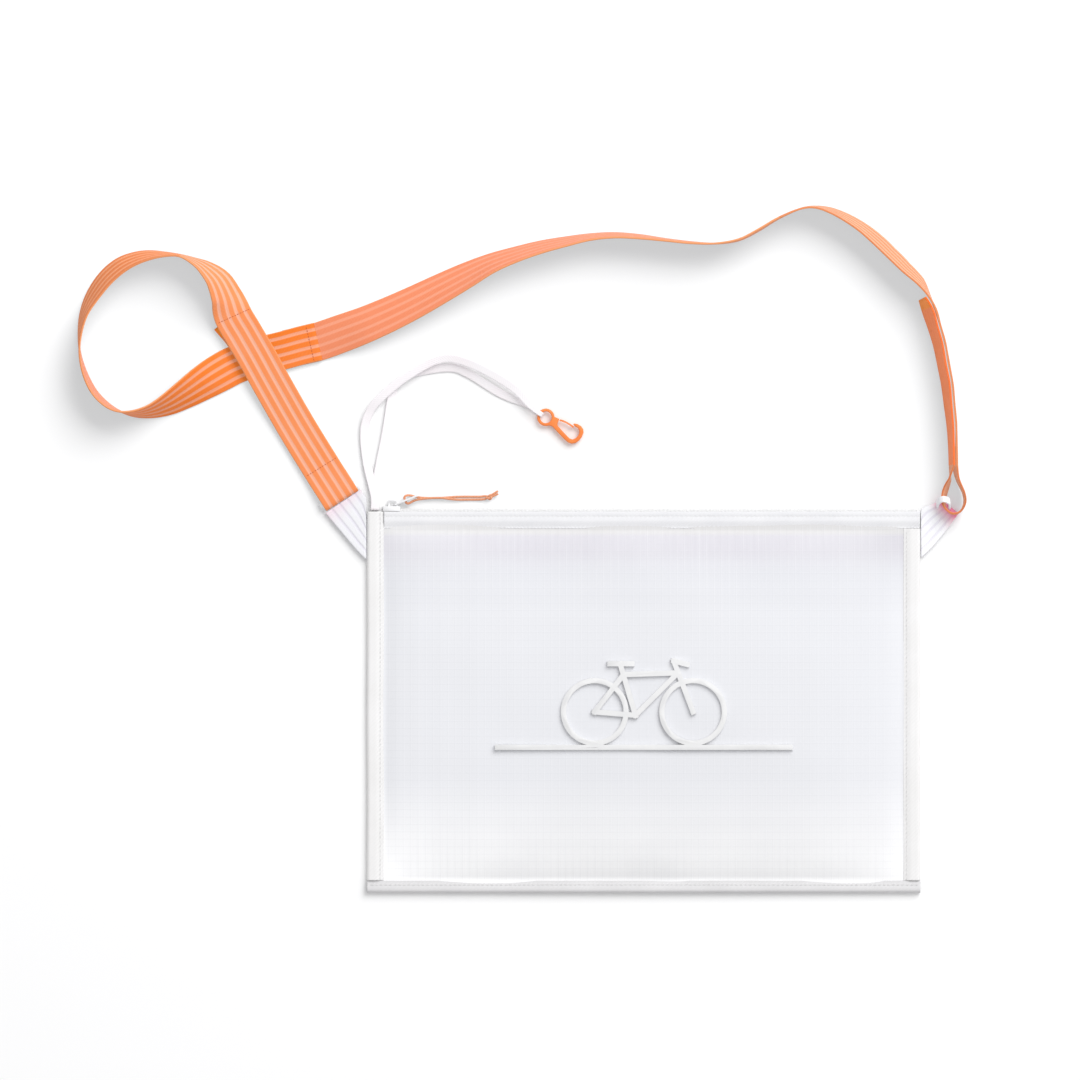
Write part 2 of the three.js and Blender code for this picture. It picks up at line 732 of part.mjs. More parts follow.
const CORD_FAR = [
  cordEntry(1, GAP / 2, 0),
  cordEntry(1, 1.8, 0.2),
  new THREE.Vector3(-154.8, 134.2, 3.2),
  new THREE.Vector3(-151.9, 134.5, 1.8),
  new THREE.Vector3(-148.6, 133.7, 0.95),
  new THREE.Vector3(-144.5, 133.0, 0.85),
  new THREE.Vector3(-132.0, 132.9, 0.85),
  new THREE.Vector3(-121.5, 133.6, 0.85),
  new THREE.Vector3(-114.0, 133.7, 0.85),
  new THREE.Vector3(-106.0, 133.7, 1.1),
  new THREE.Vector3(-103.2, 134.0, 1.4),
];
const KNOT_CENTRE = new THREE.Vector3(-100.3, 133.4, KNOT_RADIUS + GAP / 2);

function cordGeometry(points) {
  const route = new THREE.CatmullRomCurve3(points, false, 'centripetal');
  const section = new THREE.Shape();
  section.absarc(0, 0, CORD_DIAMETER / 2, 0, Math.PI * 2);
  const steps = Math.ceil(route.getLength() / CORD_STEP * 2);
  const settings = { steps, extrudePath: route, curveSegments: CORD_SIDES / 2, bevelEnabled: false };
  return new THREE.ExtrudeGeometry(section, settings);
}

function knotGeometry() {
  const profile = KNOT.map(([out, along]) => new THREE.Vector2(out * KNOT_RADIUS, along * KNOT_RADIUS));
  const geometry = new THREE.LatheGeometry(profile, 12);
  return geometry.rotateZ(radians(KNOT_HEADING - 90));
}

// Strap bands
function leftBand() {
  const over = routeFrames(LEFT_ROUTE, strapSpot, WEBBING_THICK, STRAP_STEP, 1);
  const under = turnedBack(routeFrames(LEFT_RETURN, strapSpot, WEBBING_THICK, STRAP_STEP, 1));
  const start = under[under.length - 1];
  const out = new THREE.Vector3().crossVectors(UP, over[0].across).normalize();
  const fold = foldFrames(start, over[0], out, FOLD_STEPS);
  return ribbon([...under, ...fold, ...over], webbingOutline(), WEBBING_THICK);
}

function rightBand() {
  const main = routeFrames(RIGHT_ROUTE, strapSpot, WEBBING_THICK, STRAP_STEP, -1);
  const loop = routeFrames(LOOP_ROUTE, strapSpot, WEBBING_THICK, STRAP_STEP / 2, -1).slice(1);
  const doubled = turnedBack(main.filter((frame) => frame.row >= FLAP_ROW));
  for (const frame of doubled) {
    frame.place = frame.place.clone().addScaledVector(frame.face, -LAYER_STEP);
  }
  return ribbon([...main, ...loop, ...doubled], webbingOutline(), WEBBING_THICK);
}

// Tab plates: fans of ribbed webbing from the bag's edge out to the strap
function tabPlate(rows, side) {
  const frames = rows.map(([out, up, width, heading]) => {
    const turn = radians(heading);
    const travel = new THREE.Vector3(side * Math.cos(turn), Math.sin(turn), 0);
    return {
      place: new THREE.Vector3(
        side * (HALF_WIDTH + GAP + out * BAG_WIDTH),
        riseY(up),
        TAB_LIFT + TAB_THICK / 2,
      ),
      across: new THREE.Vector3().crossVectors(UP, travel),
      face: UP.clone(),
      width: width * WEBBING_WIDTH,
    };
  });
  return ribbon(frames, webbingOutline(), TAB_THICK);
}

function leftTab() {
  const strap = routeFrames(LEFT_ROUTE, strapSpot, WEBBING_THICK, STRAP_STEP, 1)[0];
  const out = new THREE.Vector3().crossVectors(UP, strap.across).normalize();
  const middle = new THREE.Vector3(strap.place.x, strap.place.y, (strap.place.z + WEBBING_THICK / 2) / 2);
  const bar = { across: out, face: UP.clone(), width: TAB_BAR_WIDTH };
  const reach = WEBBING_WIDTH / 2 + GAP + TAB_EAR;
  const barAt = (distance) => ({
    ...bar,
    place: middle.clone().addScaledVector(strap.across, distance).addScaledVector(out, -TAB_BAR_SETBACK),
  });
  const crossbar = ribbon([barAt(-reach), barAt(reach)], FLAT_OUTLINE, TAB_THICK * 0.75);
  const ear = (side) => {
    const centre = middle.clone().addScaledVector(strap.across, side * (reach - TAB_EAR / 2));
    const at = (distance) => ({
      place: centre.clone().addScaledVector(out, distance),
      across: strap.across.clone().negate(),
      face: UP.clone(),
      width: TAB_EAR,
    });
    return ribbon([at(-TAB_EAR_BACK), at(TAB_EAR_AHEAD)], FLAT_OUTLINE, TAB_THICK * 0.75);
  };
  return geometryOf(union([tabPlate(LEFT_TAB, -1), crossbar, ear(1), ear(-1)]));
}

function rightTab() {
  const spots = HOOP_ROUTE.map(([out, up, height]) => new THREE.Vector3(
    HALF_WIDTH + out * BAG_WIDTH,
    riseY(up),
    height * WEBBING_WIDTH,
  ));
  const route = new THREE.CatmullRomCurve3(spots, false, 'catmullrom', 0.5);
  const frames = [];
  const parts = (HOOP_ROUTE.length - 1) * 2;
  for (let part = 0; part <= parts; part += 1) {
    const travel = route.getTangent(part / parts);
    const along = new THREE.Vector3(-0.1, 1, 0).normalize();
    const face = new THREE.Vector3().crossVectors(travel, along).normalize();
    const across = new THREE.Vector3().crossVectors(face, travel).normalize();
    frames.push({ place: route.getPoint(part / parts), across, face, width: HOOP_WIDTH });
  }
  const hoop = ribbon(frames, FLAT_OUTLINE, HOOP_THICK);
  return geometryOf(union([tabPlate(RIGHT_TAB, 1), hoop]));
}

// Lanyard and hook
const EYE_HEIGHT = 2.8;
const TAPE_TURN = 2.2;
const LANYARD_END = new THREE.Vector2(bagX(0.3233), riseY(0.3096));
const hookAxis = new THREE.Vector3(Math.cos(radians(HOOK_HEADING)), Math.sin(radians(HOOK_HEADING)), 0);
const eyeBar = new THREE.Vector3(LANYARD_END.x, LANYARD_END.y, EYE_HEIGHT)
  .addScaledVector(hookAxis, -(EYE_OUTER + EYE_INNER) / 2);

function lanyard() {
  const left = new THREE.Vector3().crossVectors(UP, hookAxis);
  const strand = (rows, height) => {
    const frames = routeFrames(rows, lanyardSpot, LANYARD_THICK, LANYARD_STEP, 1);
    for (const back of [LANYARD_EYE_LEAD, 0]) {
      const place = eyeBar.clone().addScaledVector(hookAxis, -back);
      place.z = EYE_HEIGHT + height;
      frames.push({ place, across: left.clone(), face: UP.clone(), width: LANYARD_EYE_WIDTH });
    }
    return frames;
  };
  const upper = strand(LANYARD_UPPER, TAPE_TURN);
  const lower = turnedBack(strand(LANYARD_LOWER, -TAPE_TURN));
  const fold = foldFrames(upper[upper.length - 1], lower[0], hookAxis, FOLD_STEPS + 1);
  return ribbon([...upper, ...fold, ...lower], FLAT_OUTLINE, LANYARD_THICK);
}

function hookPlate(shape, thick) {
  const geometry = new THREE.ExtrudeGeometry(shape, {
    depth: thick - HOOK_BEVEL * 2,
    bevelEnabled: true,
    bevelThickness: HOOK_BEVEL,
    bevelSize: HOOK_BEVEL,
    bevelOffset: -HOOK_BEVEL,
    bevelSegments: 1,
    curveSegments: 24,
  });
  return geometry.translate(0, 0, HOOK_BEVEL - thick / 2);
}

function hookGeometry() {
  const outline = HOOK_OUTLINE.map(([along, side]) => [along * HOOK_LENGTH, side * HOOK_LENGTH]);
  const ring = [];
  for (let turn = 36; turn <= 324; turn += 18) {
    ring.push([EYE_OUTER * Math.cos(radians(turn)), EYE_OUTER * Math.sin(radians(turn))]);
  }
  const shape = shapeOf([...outline, ...ring]);
  const eye = new THREE.Path();
  eye.absarc(0, 0, EYE_INNER, 0, Math.PI * 2, true);
  shape.holes.push(eye);
  return hookPlate(shape, HOOK_THICK);
}

const GATE_PIVOT = new THREE.Vector2(GATE_LINE[0][0] * HOOK_LENGTH, GATE_LINE[0][1] * HOOK_LENGTH);

function gateGeometry() {
  const line = GATE_LINE.map(([along, side]) => (
    new THREE.Vector2(along * HOOK_LENGTH, side * HOOK_LENGTH).sub(GATE_PIVOT)
  ));
  const half = GATE_THICK / 2;
  const outer = [];
  const inner = [];
  line.forEach((spot, index) => {
    const before = line[Math.max(index - 1, 0)];
    const after = line[Math.min(index + 1, line.length - 1)];
    const side = after.clone().sub(before).normalize();
    outer.push([spot.x - side.y * half, spot.y + side.x * half]);
    inner.unshift([spot.x + side.y * half, spot.y - side.x * half]);
  });
  const root = [];
  for (let turn = 250; turn >= 150; turn -= 25) {
    root.push([half * Math.cos(radians(turn)), half * Math.sin(radians(turn))]);
  }
  const shape = shapeOf([...outer, ...inner, ...root]);
  const depth = HOOK_THICK - HOOK_BEVEL * 2;
  const geometry = new THREE.ExtrudeGeometry(shape, { depth, bevelEnabled: false });
  return geometry.translate(0, 0, -depth / 2);
}

// Badge: a bicycle on a line of road, in the plane and then laid over the crown
function badgeGeometry() {
  const settings = { depth: BADGE_THICK, bevelEnabled: false, curveSegments: 28 };
  const bar = (x0, y0, x1, y1, width) => {
    const length = Math.hypot(x1 - x0, y1 - y0);
    const geometry = new THREE.BoxGeometry(length + width, width, BADGE_THICK);
    geometry.rotateZ(Math.atan2(y1 - y0, x1 - x0));
    return geometry.translate((x0 + x1) / 2, (y0 + y1) / 2, BADGE_THICK / 2);
  };
  const wheel = (x) => {
    const shape = new THREE.Shape();
    shape.absarc(x, 0, WHEEL_RADIUS, 0, Math.PI * 2);
    const inside = new THREE.Path();
    inside.absarc(x, 0, WHEEL_RADIUS - BADGE_LINE, 0, Math.PI * 2, true);
    shape.holes.push(inside);
    return new THREE.ExtrudeGeometry(shape, settings);
  };
  const rear = [-1.45 * WHEEL_RADIUS, 0];
  const front = [1.45 * WHEEL_RADIUS, 0];
  const crank = [-0.25 * WHEEL_RADIUS, -0.1 * WHEEL_RADIUS];
  const seat = [-0.6 * WHEEL_RADIUS, 1.1 * WHEEL_RADIUS];
  const post = [-0.7 * WHEEL_RADIUS, 1.42 * WHEEL_RADIUS];
  const head = [1.0 * WHEEL_RADIUS, 1.15 * WHEEL_RADIUS];
  const stem = [0.88 * WHEEL_RADIUS, 1.5 * WHEEL_RADIUS];
  const road = -WHEEL_RADIUS - BADGE_LINE * 0.3;
  const parts = [
    wheel(rear[0]),
    wheel(front[0]),
    bar(...rear, ...crank, BADGE_LINE),
    bar(...rear, ...seat, BADGE_LINE),
    bar(...crank, ...post, BADGE_LINE),
    bar(...crank, ...head, BADGE_LINE),
    bar(...seat, ...head, BADGE_LINE),
    bar(...front, ...stem, BADGE_LINE),
    bar(post[0] - 0.3 * WHEEL_RADIUS, post[1], post[0] + 0.35 * WHEEL_RADIUS, post[1], BADGE_LINE),
    bar(stem[0], stem[1], stem[0] + 0.4 * WHEEL_RADIUS, stem[1] - 0.1 * WHEEL_RADIUS, BADGE_LINE),
    bar(-BADGE_WIDTH / 2, road, BADGE_WIDTH / 2, road, BADGE_LINE),
  ];
  const flat = union(parts).refineToLength(24);
  const geometry = geometryOf(flat);
  const spots = geometry.attributes.position;
  for (let index = 0; index < spots.count; index += 1) {
    const y = spots.getY(index) - BADGE_LIFT;
    const rise = FRONT_EDGE + CLOTH + GAP + crownAt(spots.getX(index), y);
    spots.setXYZ(index, spots.getX(index), y, rise + spots.getZ(index));
  }
  geometry.computeVertexNormals();
  return geometry;
}

const bag = new THREE.Group();
bag.name = 'cycling_musette_bag';

function place(name, geometry, colour, roughness, parent = bag, metalness = 0) {
  const material = new THREE.MeshStandardMaterial({ color: colour, roughness, metalness });
  material.name = name;
  const mesh = new THREE.Mesh(geometry, material);
  mesh.name = name;
  parent.add(mesh);
  return mesh;
}

place('front_panel', frontPanel(), 0xefeff4, 0.55);
place('back_panel', backPanel(), 0xefeff4, 0.55);
place('left_binding', leftBinding, 0xefefef, 0.85);
place('right_binding', rightBinding, 0xf4f4f4, 0.85);
place('bottom_hem', bottomHem, 0xe9e8e9, 0.8);
place('zip_tape_front', tapeFront, 0xefeff1, 0.85);
place('zip_tape_back', tapeBack, 0xefeff1, 0.85);
place('zip_coil', zipCoil, 0xf7f7f7, 0.5);
place('zip_slider', sliderGeometry(), 0xf4f4f5, 0.35);
const pull = place('zip_pull_tab', pullGeometry(), 0xf4f4f5, 0.35);
pull.position.copy(pullStart);
pull.rotation.set(0, -radians(PULL_PITCH), radians(PULL_HEADING), 'ZYX');
place('zip_pull_cord_near', cordGeometry(CORD_NEAR), 0xf06a2c, 0.8);
place('zip_pull_cord_far', cordGeometry(CORD_FAR), 0xf06a2c, 0.8);
place('zip_pull_knot', knotGeometry(), 0xf06a2c, 0.8).position.copy(KNOT_CENTRE);
place('left_strap_tab', leftTab(), 0xececf0, 0.85);
place('right_strap_tab', rightTab(), 0xececf0, 0.85);
place('strap_left_band', leftBand(), 0xf78140, 0.8);
place('strap_right_band', rightBand(), 0xf78140, 0.8);
place('lanyard_tape', lanyard(), 0xf1f1f4, 0.8);

const hook = new THREE.Group();
hook.name = 'hook_place';
hook.position.set(LANYARD_END.x, LANYARD_END.y, EYE_HEIGHT);
hook.rotation.z = radians(HOOK_HEADING);
bag.add(hook);
place('snap_hook', hookGeometry(), 0xfa8032, 0.4, hook);
const gate = place('snap_hook_gate', gateGeometry(), 0xfa8032, 0.4, hook);
gate.position.set(GATE_PIVOT.x, GATE_PIVOT.y, 0);

place('front_emblem', badgeGeometry(), 0xfafafa, 0.5);

export default bag;
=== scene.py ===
import math

import bpy
import numpy as np
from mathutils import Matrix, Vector


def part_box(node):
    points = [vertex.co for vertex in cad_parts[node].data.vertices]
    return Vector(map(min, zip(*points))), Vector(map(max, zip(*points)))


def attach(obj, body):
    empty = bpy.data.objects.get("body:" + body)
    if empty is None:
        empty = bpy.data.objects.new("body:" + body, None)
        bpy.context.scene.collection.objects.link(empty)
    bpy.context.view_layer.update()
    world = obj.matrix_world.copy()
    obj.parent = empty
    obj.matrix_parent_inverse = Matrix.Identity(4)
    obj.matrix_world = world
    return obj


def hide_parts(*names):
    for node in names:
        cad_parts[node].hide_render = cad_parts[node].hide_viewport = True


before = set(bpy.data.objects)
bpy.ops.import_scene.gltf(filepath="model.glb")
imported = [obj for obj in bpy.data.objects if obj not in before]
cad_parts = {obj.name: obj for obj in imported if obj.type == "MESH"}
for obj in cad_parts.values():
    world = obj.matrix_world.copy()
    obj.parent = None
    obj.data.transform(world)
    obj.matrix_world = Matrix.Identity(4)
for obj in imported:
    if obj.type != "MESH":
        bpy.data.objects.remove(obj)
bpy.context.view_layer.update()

# Sizes of the part, in metres
BAG_WIDTH = 0.360
BAG_HEIGHT = 0.248
BAG_CROWN = 0.012
CLOTH = 0.001
TAPE = 0.001
GAP = 0.0003
BINDING_WIDTH = 0.011
BAND_WIDTH = 0.011
HEM_DEPTH = 0.008
CROWN_START = 0.001
WEBBING_WIDTH = 0.025
WEBBING_THICK = 0.0016
STRAP_RISE = 0.198
LAYER_STEP = WEBBING_THICK + GAP
TAB_THICK = 0.0022
TAB_LIFT = 0.0016
TAB_EAR = 0.0015
TAB_BAR_WIDTH = 0.004
TAB_BAR_SETBACK = 0.0016
TAB_EAR_REACH = 0.003
HOOP_WIDTH = 0.004
HOOP_THICK = 0.0012
LANYARD_WIDTH = 0.0055
LANYARD_THICK = 0.001
LANYARD_EYE_WIDTH = 0.0032
LANYARD_EYE_LEAD = 0.0032
HOOK_AT = (0.3233, 0.3096)
HOOK_HEADING = math.radians(-33)
EYE_MIDDLE = 0.00475
EYE_HEIGHT = 0.0028
TAPE_TURN = 0.0022
COIL_DEPTH = 0.0037
COIL_OVER = 0.002
SLIDER_LENGTH = 0.011
SLIDER_TOP = 0.0012
LEG_HEIGHT = 0.0031
LEG_AHEAD = 0.0058
PULL_LENGTH = 0.018
PULL_HEADING = math.radians(22)
PULL_PITCH = math.radians(10)
PULL_SLOT_MIDDLE = 0.00215
CORD_DIAMETER = 0.0015
HALF_WIDTH = BAG_WIDTH / 2
HALF_HEIGHT = BAG_HEIGHT / 2
BACK_EDGE = TAPE + GAP
FRONT_EDGE = BACK_EDGE + CLOTH + GAP
TOP_EDGE = FRONT_EDGE + CLOTH + GAP
EDGE_STACK = TOP_EDGE + TAPE

# Thickness of the cloths as they are drawn
WEBBING_CLOTH = 0.0013
BINDING_CLOTH = 0.0008
PANEL_CLOTH = 0.0004
LANYARD_CLOTH = 0.0008

# Crown of the front wall: share of the way from the middle to the margin, share of the crown
CROWN = [(0, 1), (0.3, 0.985), (0.5, 0.93), (0.65, 0.84), (0.78, 0.68), (0.88, 0.47), (0.95, 0.24), (1, 0)]

# Strap routes: share of the bag's width from its left edge, share of the strap's rise above the
# bag's top edge, roll in degrees, layers of webbing underneath, share of the webbing's width
LEFT_ROUTE = [
    (-0.048, 0.047, 0, 2.21, 1), (-0.061, 0.084, 0, 1.85, 1), (-0.080, 0.138, 0, 1.15, 1),
    (-0.127, 0.277, 0, 1, 1), (-0.172, 0.420, 0, 2, 1), (-0.199, 0.509, 0, 2.4, 1),
    (-0.222, 0.582, 0, 2.4, 1), (-0.241, 0.641, 6, 1.9, 1), (-0.252, 0.702, 36, 0.1, 1),
    (-0.267, 0.758, 51, 0, 1), (-0.289, 0.797, 67, 0, 1), (-0.310, 0.820, 79, 0, 1),
    (-0.336, 0.839, 86, 0, 1), (-0.365, 0.843, 82, 0, 1), (-0.392, 0.840, 74.5, 0, 1),
    (-0.418, 0.829, 68.5, 0, 1), (-0.445, 0.806, 63.5, 0, 1), (-0.471, 0.765, 63, 0, 1),
    (-0.494, 0.708, 67, 0, 1), (-0.510, 0.648, 75.5, 0, 1), (-0.517, 0.582, 82.5, 0, 1),
    (-0.517, 0.519, 88, 0, 1), (-0.508, 0.453, 93, 0, 1), (-0.492, 0.394, 95.5, 0, 1),
    (-0.470, 0.352, 95.3, 0, 1), (-0.447, 0.329, 91.5, 0, 1), (-0.420, 0.321, 82.5, 0, 1),
    (-0.389, 0.329, 71.5, 0, 1), (-0.358, 0.352, 57.5, 0, 1), (-0.325, 0.388, 43, 0, 1),
    (-0.292, 0.427, 26, 0, 1), (-0.262, 0.460, 8, 0, 1), (-0.236, 0.484, 0, 0, 1),
    (-0.190, 0.512, 0, 0.25, 1), (-0.150, 0.530, 0, 1, 1), (-0.118, 0.546, 0, 1, 1),
    (-0.088, 0.559, 0, 1, 1),
]
LEFT_RETURN = [
    (-0.048, 0.047, 0, 0, 1), (-0.061, 0.084, 0, 0, 1), (-0.080, 0.138, 0, 0, 1),
    (-0.127, 0.277, 0, 0, 1), (-0.172, 0.420, 0, 0.8, 1), (-0.199, 0.509, 0, 1.3, 1),
    (-0.224, 0.582, 0, 1.3, 1), (-0.2495, 0.638, 0, 0.9, 1),
]
RIGHT_ROUTE = [
    (-0.145, 0.534, 0, 0, 1), (-0.114, 0.547, 0, 0, 1), (-0.089, 0.558, 0, 0, 1),
    (-0.049, 0.583, -6, 0, 1), (-0.004, 0.613, -17, 0, 1), (0.042, 0.649, -24, 0, 1),
    (0.088, 0.689, -31, 0, 1), (0.133, 0.731, -38.5, 0, 1), (0.178, 0.773, -47, 0, 1),
    (0.223, 0.813, -58, 0, 1), (0.269, 0.843, -65.5, 0, 1), (0.314, 0.867, -70, 0, 1),
    (0.359, 0.885, -74.5, 0, 1), (0.403, 0.900, -79, 0, 1), (0.448, 0.906, -81, 0, 1),
    (0.494, 0.901, -82.5, 0, 1), (0.539, 0.891, -85, 0, 1), (0.584, 0.882, -86, 0, 1),
    (0.629, 0.879, -88, 0, 1), (0.671, 0.891, -90, 0, 1), (0.705, 0.921, -91, 0, 1),
    (0.743, 0.962, -90, 0, 1), (0.783, 0.993, -88, 0, 1), (0.810, 0.998, -85.5, 0, 1),
    (0.837, 0.987, -80, 0, 1), (0.864, 0.965, -76, 0, 1), (0.892, 0.934, -73, 0, 1),
    (0.919, 0.895, -70, 0, 1), (0.946, 0.848, -70, 0, 1), (0.971, 0.797, -75, 0, 1),
    (0.993, 0.748, -86, 0, 1), (1.007, 0.703, -97, 0, 1), (1.018, 0.657, -103, 0, 1),
    (1.027, 0.605, -101, 0, 1), (1.036, 0.549, -100.5, 0, 1), (1.043, 0.483, -99, 0, 1),
    (1.050, 0.417, -99, 0, 1), (1.054, 0.351, -97.5, 0, 1), (1.058, 0.285, -96, 0, 1),
    (1.060, 0.219, -94.5, 0, 1), (1.061, 0.153, -94, 0, 1),
]
LOOP_ROUTE = [
    (1.061, 0.153, -94, 0, 1), (1.066, 0.107, -91, 0.2, 0.96), (1.077, 0.061, -90, 0.9, 0.8),
    (1.079, 0.028, -90, 1.8, 0.62), (1.071, 0.000, -88, 2.5, 0.46), (1.057, -0.007, -88, 2.5, 0.42),
    (1.045, 0.010, -95, 2.5, 0.4), (1.041, 0.035, -104, 2.5, 0.42), (1.044, 0.068, -106, 2.1, 0.5),
    (1.052, 0.105, -96, 0.8, 0.78),
]
# Row of the right route where the strap's doubled end starts
FLAP_ROW = 31

# Tabs: share of the bag's width out from its edge, share of the strap's rise above the bag's top
# edge, share of the webbing's width, heading in degrees away from the bag
RIGHT_TAB = [
    (0, -0.077, 1.2, 0), (0.020, -0.038, 0.92, 24), (0.040, -0.005, 0.68, 43), (0.053, 0.017, 0.58, 50),
]
LEFT_TAB = [
    (0, -0.078, 1.28, 0), (0.018, -0.024, 1.15, 26), (0.034, 0.014, 1.09, 45), (0.0422, 0.0333, 1.1, 56.4),
]
# Hoop that the right strap's end passes through: share of the bag's width out from its edge, share
# of the strap's rise, height as a share of the webbing's width
HOOP_ROUTE = [
    (0.0305, 0.018, 0.11), (0.0305, 0.024, 0.32), (0.0320, 0.034, 0.57), (0.0375, 0.040, 0.68),
    (0.0445, 0.039, 0.685), (0.0505, 0.033, 0.57), (0.0525, 0.023, 0.32), (0.0520, 0.016, 0.11),
]

# Lanyard strands: share of the bag's width, share of the strap's rise, roll in degrees, height of
# the lower edge as a share of the tape's width, share of its width
LANYARD_UPPER = [
    (0.014, 0.0042, 0, 0.46, 1), (0.014, 0.051, 8, 0.4, 1), (0.000, 0.160, 24, 0.12, 1),
    (-0.005, 0.256, 30, 0.1, 1), (0.0025, 0.318, 32, 0.35, 1), (0.0235, 0.371, 32, 0.75, 1),
    (0.074, 0.446, 30, 0.9, 1), (0.137, 0.502, 30, 0.8, 1), (0.195, 0.479, 28, 0.75, 1),
    (0.262, 0.410, 20, 0.8, 1), (0.2955, 0.3485, 8, 0.8, 0.85),
]
LANYARD_LOWER = [
    (0.014, 0.0042, 0, 0.2, 1), (0.0155, 0.032, 6, 0.14, 1), (0.0195, 0.120, 24, 0.06, 1),
    (0.034, 0.256, 30, 0.06, 1), (0.046, 0.388, 30, 0.06, 1), (0.053, 0.417, 30, 0.06, 1),
    (0.0815, 0.453, 30, 0.06, 1), (0.1465, 0.473, 30, 0.06, 1), (0.183, 0.453, 28, 0.06, 1),
    (0.242, 0.388, 18, 0.05, 1), (0.2955, 0.3485, 6, 0.03, 0.85),
]

# Cord strands from the pull's hole to the knot, in metres
CORD_NEAR = [
    (-0.1530, 0.1293, 0.0037), (-0.1494, 0.1311, 0.0029), (-0.1445, 0.1322, 0.0026),
    (-0.1320, 0.1329, 0.0026), (-0.1270, 0.1323, 0.0023), (-0.1215, 0.1318, 0.0015),
    (-0.1140, 0.1318, 0.0009), (-0.1060, 0.1319, 0.0011), (-0.1032, 0.1322, 0.0014),
    (-0.1018, 0.1328, 0.0018),
]
CORD_FAR = [
    (-0.1548, 0.1342, 0.0032), (-0.1519, 0.1345, 0.0018), (-0.1486, 0.1337, 0.00095),
    (-0.1445, 0.1330, 0.00085), (-0.1320, 0.1329, 0.00085), (-0.1215, 0.1336, 0.00085),
    (-0.1140, 0.1337, 0.00085), (-0.1060, 0.1337, 0.0011), (-0.1032, 0.1340, 0.0014),
    (-0.1018, 0.1338, 0.0018),
]
KNOT_CENTRE = np.array([-0.1003, 0.1334, 0.00235])

# Photograph: the width of its frame at the surface, and the point in its middle
FRAME_WIDTH = 0.703
FRAME_MIDDLE = (-0.0674, 0.1055)
CAMERA_HEIGHT = 5.0

# How brightly a flat surface is lit, the strap, and what stands upright in the shade
FLAT_LIGHT = 1.28
STRAP_LIGHT = 1.18
SHADE_LIGHT = 0.8

# The most that any surface gives back
BRIGHTEST = 0.95

UP = np.array([0.0, 0.0, 1.0])


def bag_x(share):
    return share * BAG_WIDTH - HALF_WIDTH


def rise_y(share):
    return HALF_HEIGHT + share * STRAP_RISE


def unit(vectors):
    """The same vectors with length 1."""
    return vectors / np.linalg.norm(vectors, axis=-1, keepdims=True)


def lengths(points):
    """Lengths gone along a line at each of its points."""
    return np.concatenate([[0], np.cumsum(np.linalg.norm(np.diff(points, axis=0), axis=1))])


def catmull(points, shares):
    """Places and unnormalised tangents on a uniform Catmull-Rom curve, at shares of the way along."""
    points = np.asarray(points, float)
    last = len(points) - 1
    ends = np.vstack([2 * points[0] - points[1], points, 2 * points[-1] - points[-2]])
    spot = np.clip(np.asarray(shares, float) * last, 0, last - 1e-9)
    row = spot.astype(int)
    t = (spot - row)[:, None]
    before, start, end, after = (ends[row + k] for k in range(4))
    leave, arrive = (end - before) / 2, (after - start) / 2
    cubic = 2 * start - 2 * end + leave + arrive
    square = -3 * start + 3 * end - 2 * leave - arrive
    place = ((cubic * t + square) * t + leave) * t + start
    tangent = (3 * cubic * t + 2 * square) * t + leave
    return place, tangent


class Frames:
    """Stations of a ribbon: places, the directions across it, its face's normals, widths and rows."""

    def __init__(self, place, across, face, width, row=None):
        self.place = place
        self.across = across
        self.face = face
        self.width = width
        self.row = np.zeros(len(place)) if row is None else row

    def part(self, keep):
        return Frames(self.place[keep], self.across[keep], self.face[keep], self.width[keep], self.row[keep])

    def turned_back(self):
        """The same layer walked the other way, face down."""
        back = self.part(slice(None, None, -1))
        back.face = -back.face
        return back


def joined(*runs):
    fields = ("place", "across", "face", "width", "row")
    return Frames(*(np.concatenate([getattr(run, name) for run in runs]) for name in fields))


def route_frames(rows, thick, step, side, width, lift_unit):
    """Frames along a route of plan points with roll, lift and width; side -1 turns the face down."""
    rows = np.asarray(rows, float)
    plan = np.stack([bag_x(rows[:, 0]), rise_y(rows[:, 1]), np.zeros(len(rows))], axis=1)
    pose = np.stack([rows[:, 2], rows[:, 3] * lift_unit, rows[:, 4] * width], axis=1)
    last = len(rows) - 1
    row = []
    for index in range(last):
        parts = max(1, round(np.linalg.norm(plan[index + 1] - plan[index]) / step))
        row.extend(index + part / parts for part in range(parts))
    row = np.array([*row, last], float)
    place, travel = catmull(plan, row / last)
    roll, lift, wide = catmull(pose, row / last)[0].T
    left = unit(np.cross(UP, unit(travel)))
    turn = np.radians(roll)[:, None]
    across = left * np.cos(turn) + UP * np.sin(turn)
    face = UP * np.cos(turn) - left * np.sin(turn)
    place = place.copy()
    place[:, 2] = np.maximum(lift, 0) + wide / 2 * np.abs(np.sin(turn[:, 0]))
    place[:, 2] += thick / 2 * np.abs(np.cos(turn[:, 0]))
    return Frames(place, across * side, face * side, wide, row)


def fold_frames(start, end, out, steps):
    """Half-circle fold between two layers, bulging along `out`."""
    middle = (start.place[0] + end.place[0]) / 2
    arm = (start.place[0] - end.place[0]) / 2
    radius = np.linalg.norm(arm)
    turn = np.pi * np.arange(1, steps)[:, None] / steps
    face = arm / radius * np.cos(turn) + out * np.sin(turn)
    count = steps - 1
    return Frames(
        middle + face * radius,
        np.repeat(start.across, count, axis=0),
        face,
        np.repeat(start.width, count),
    )


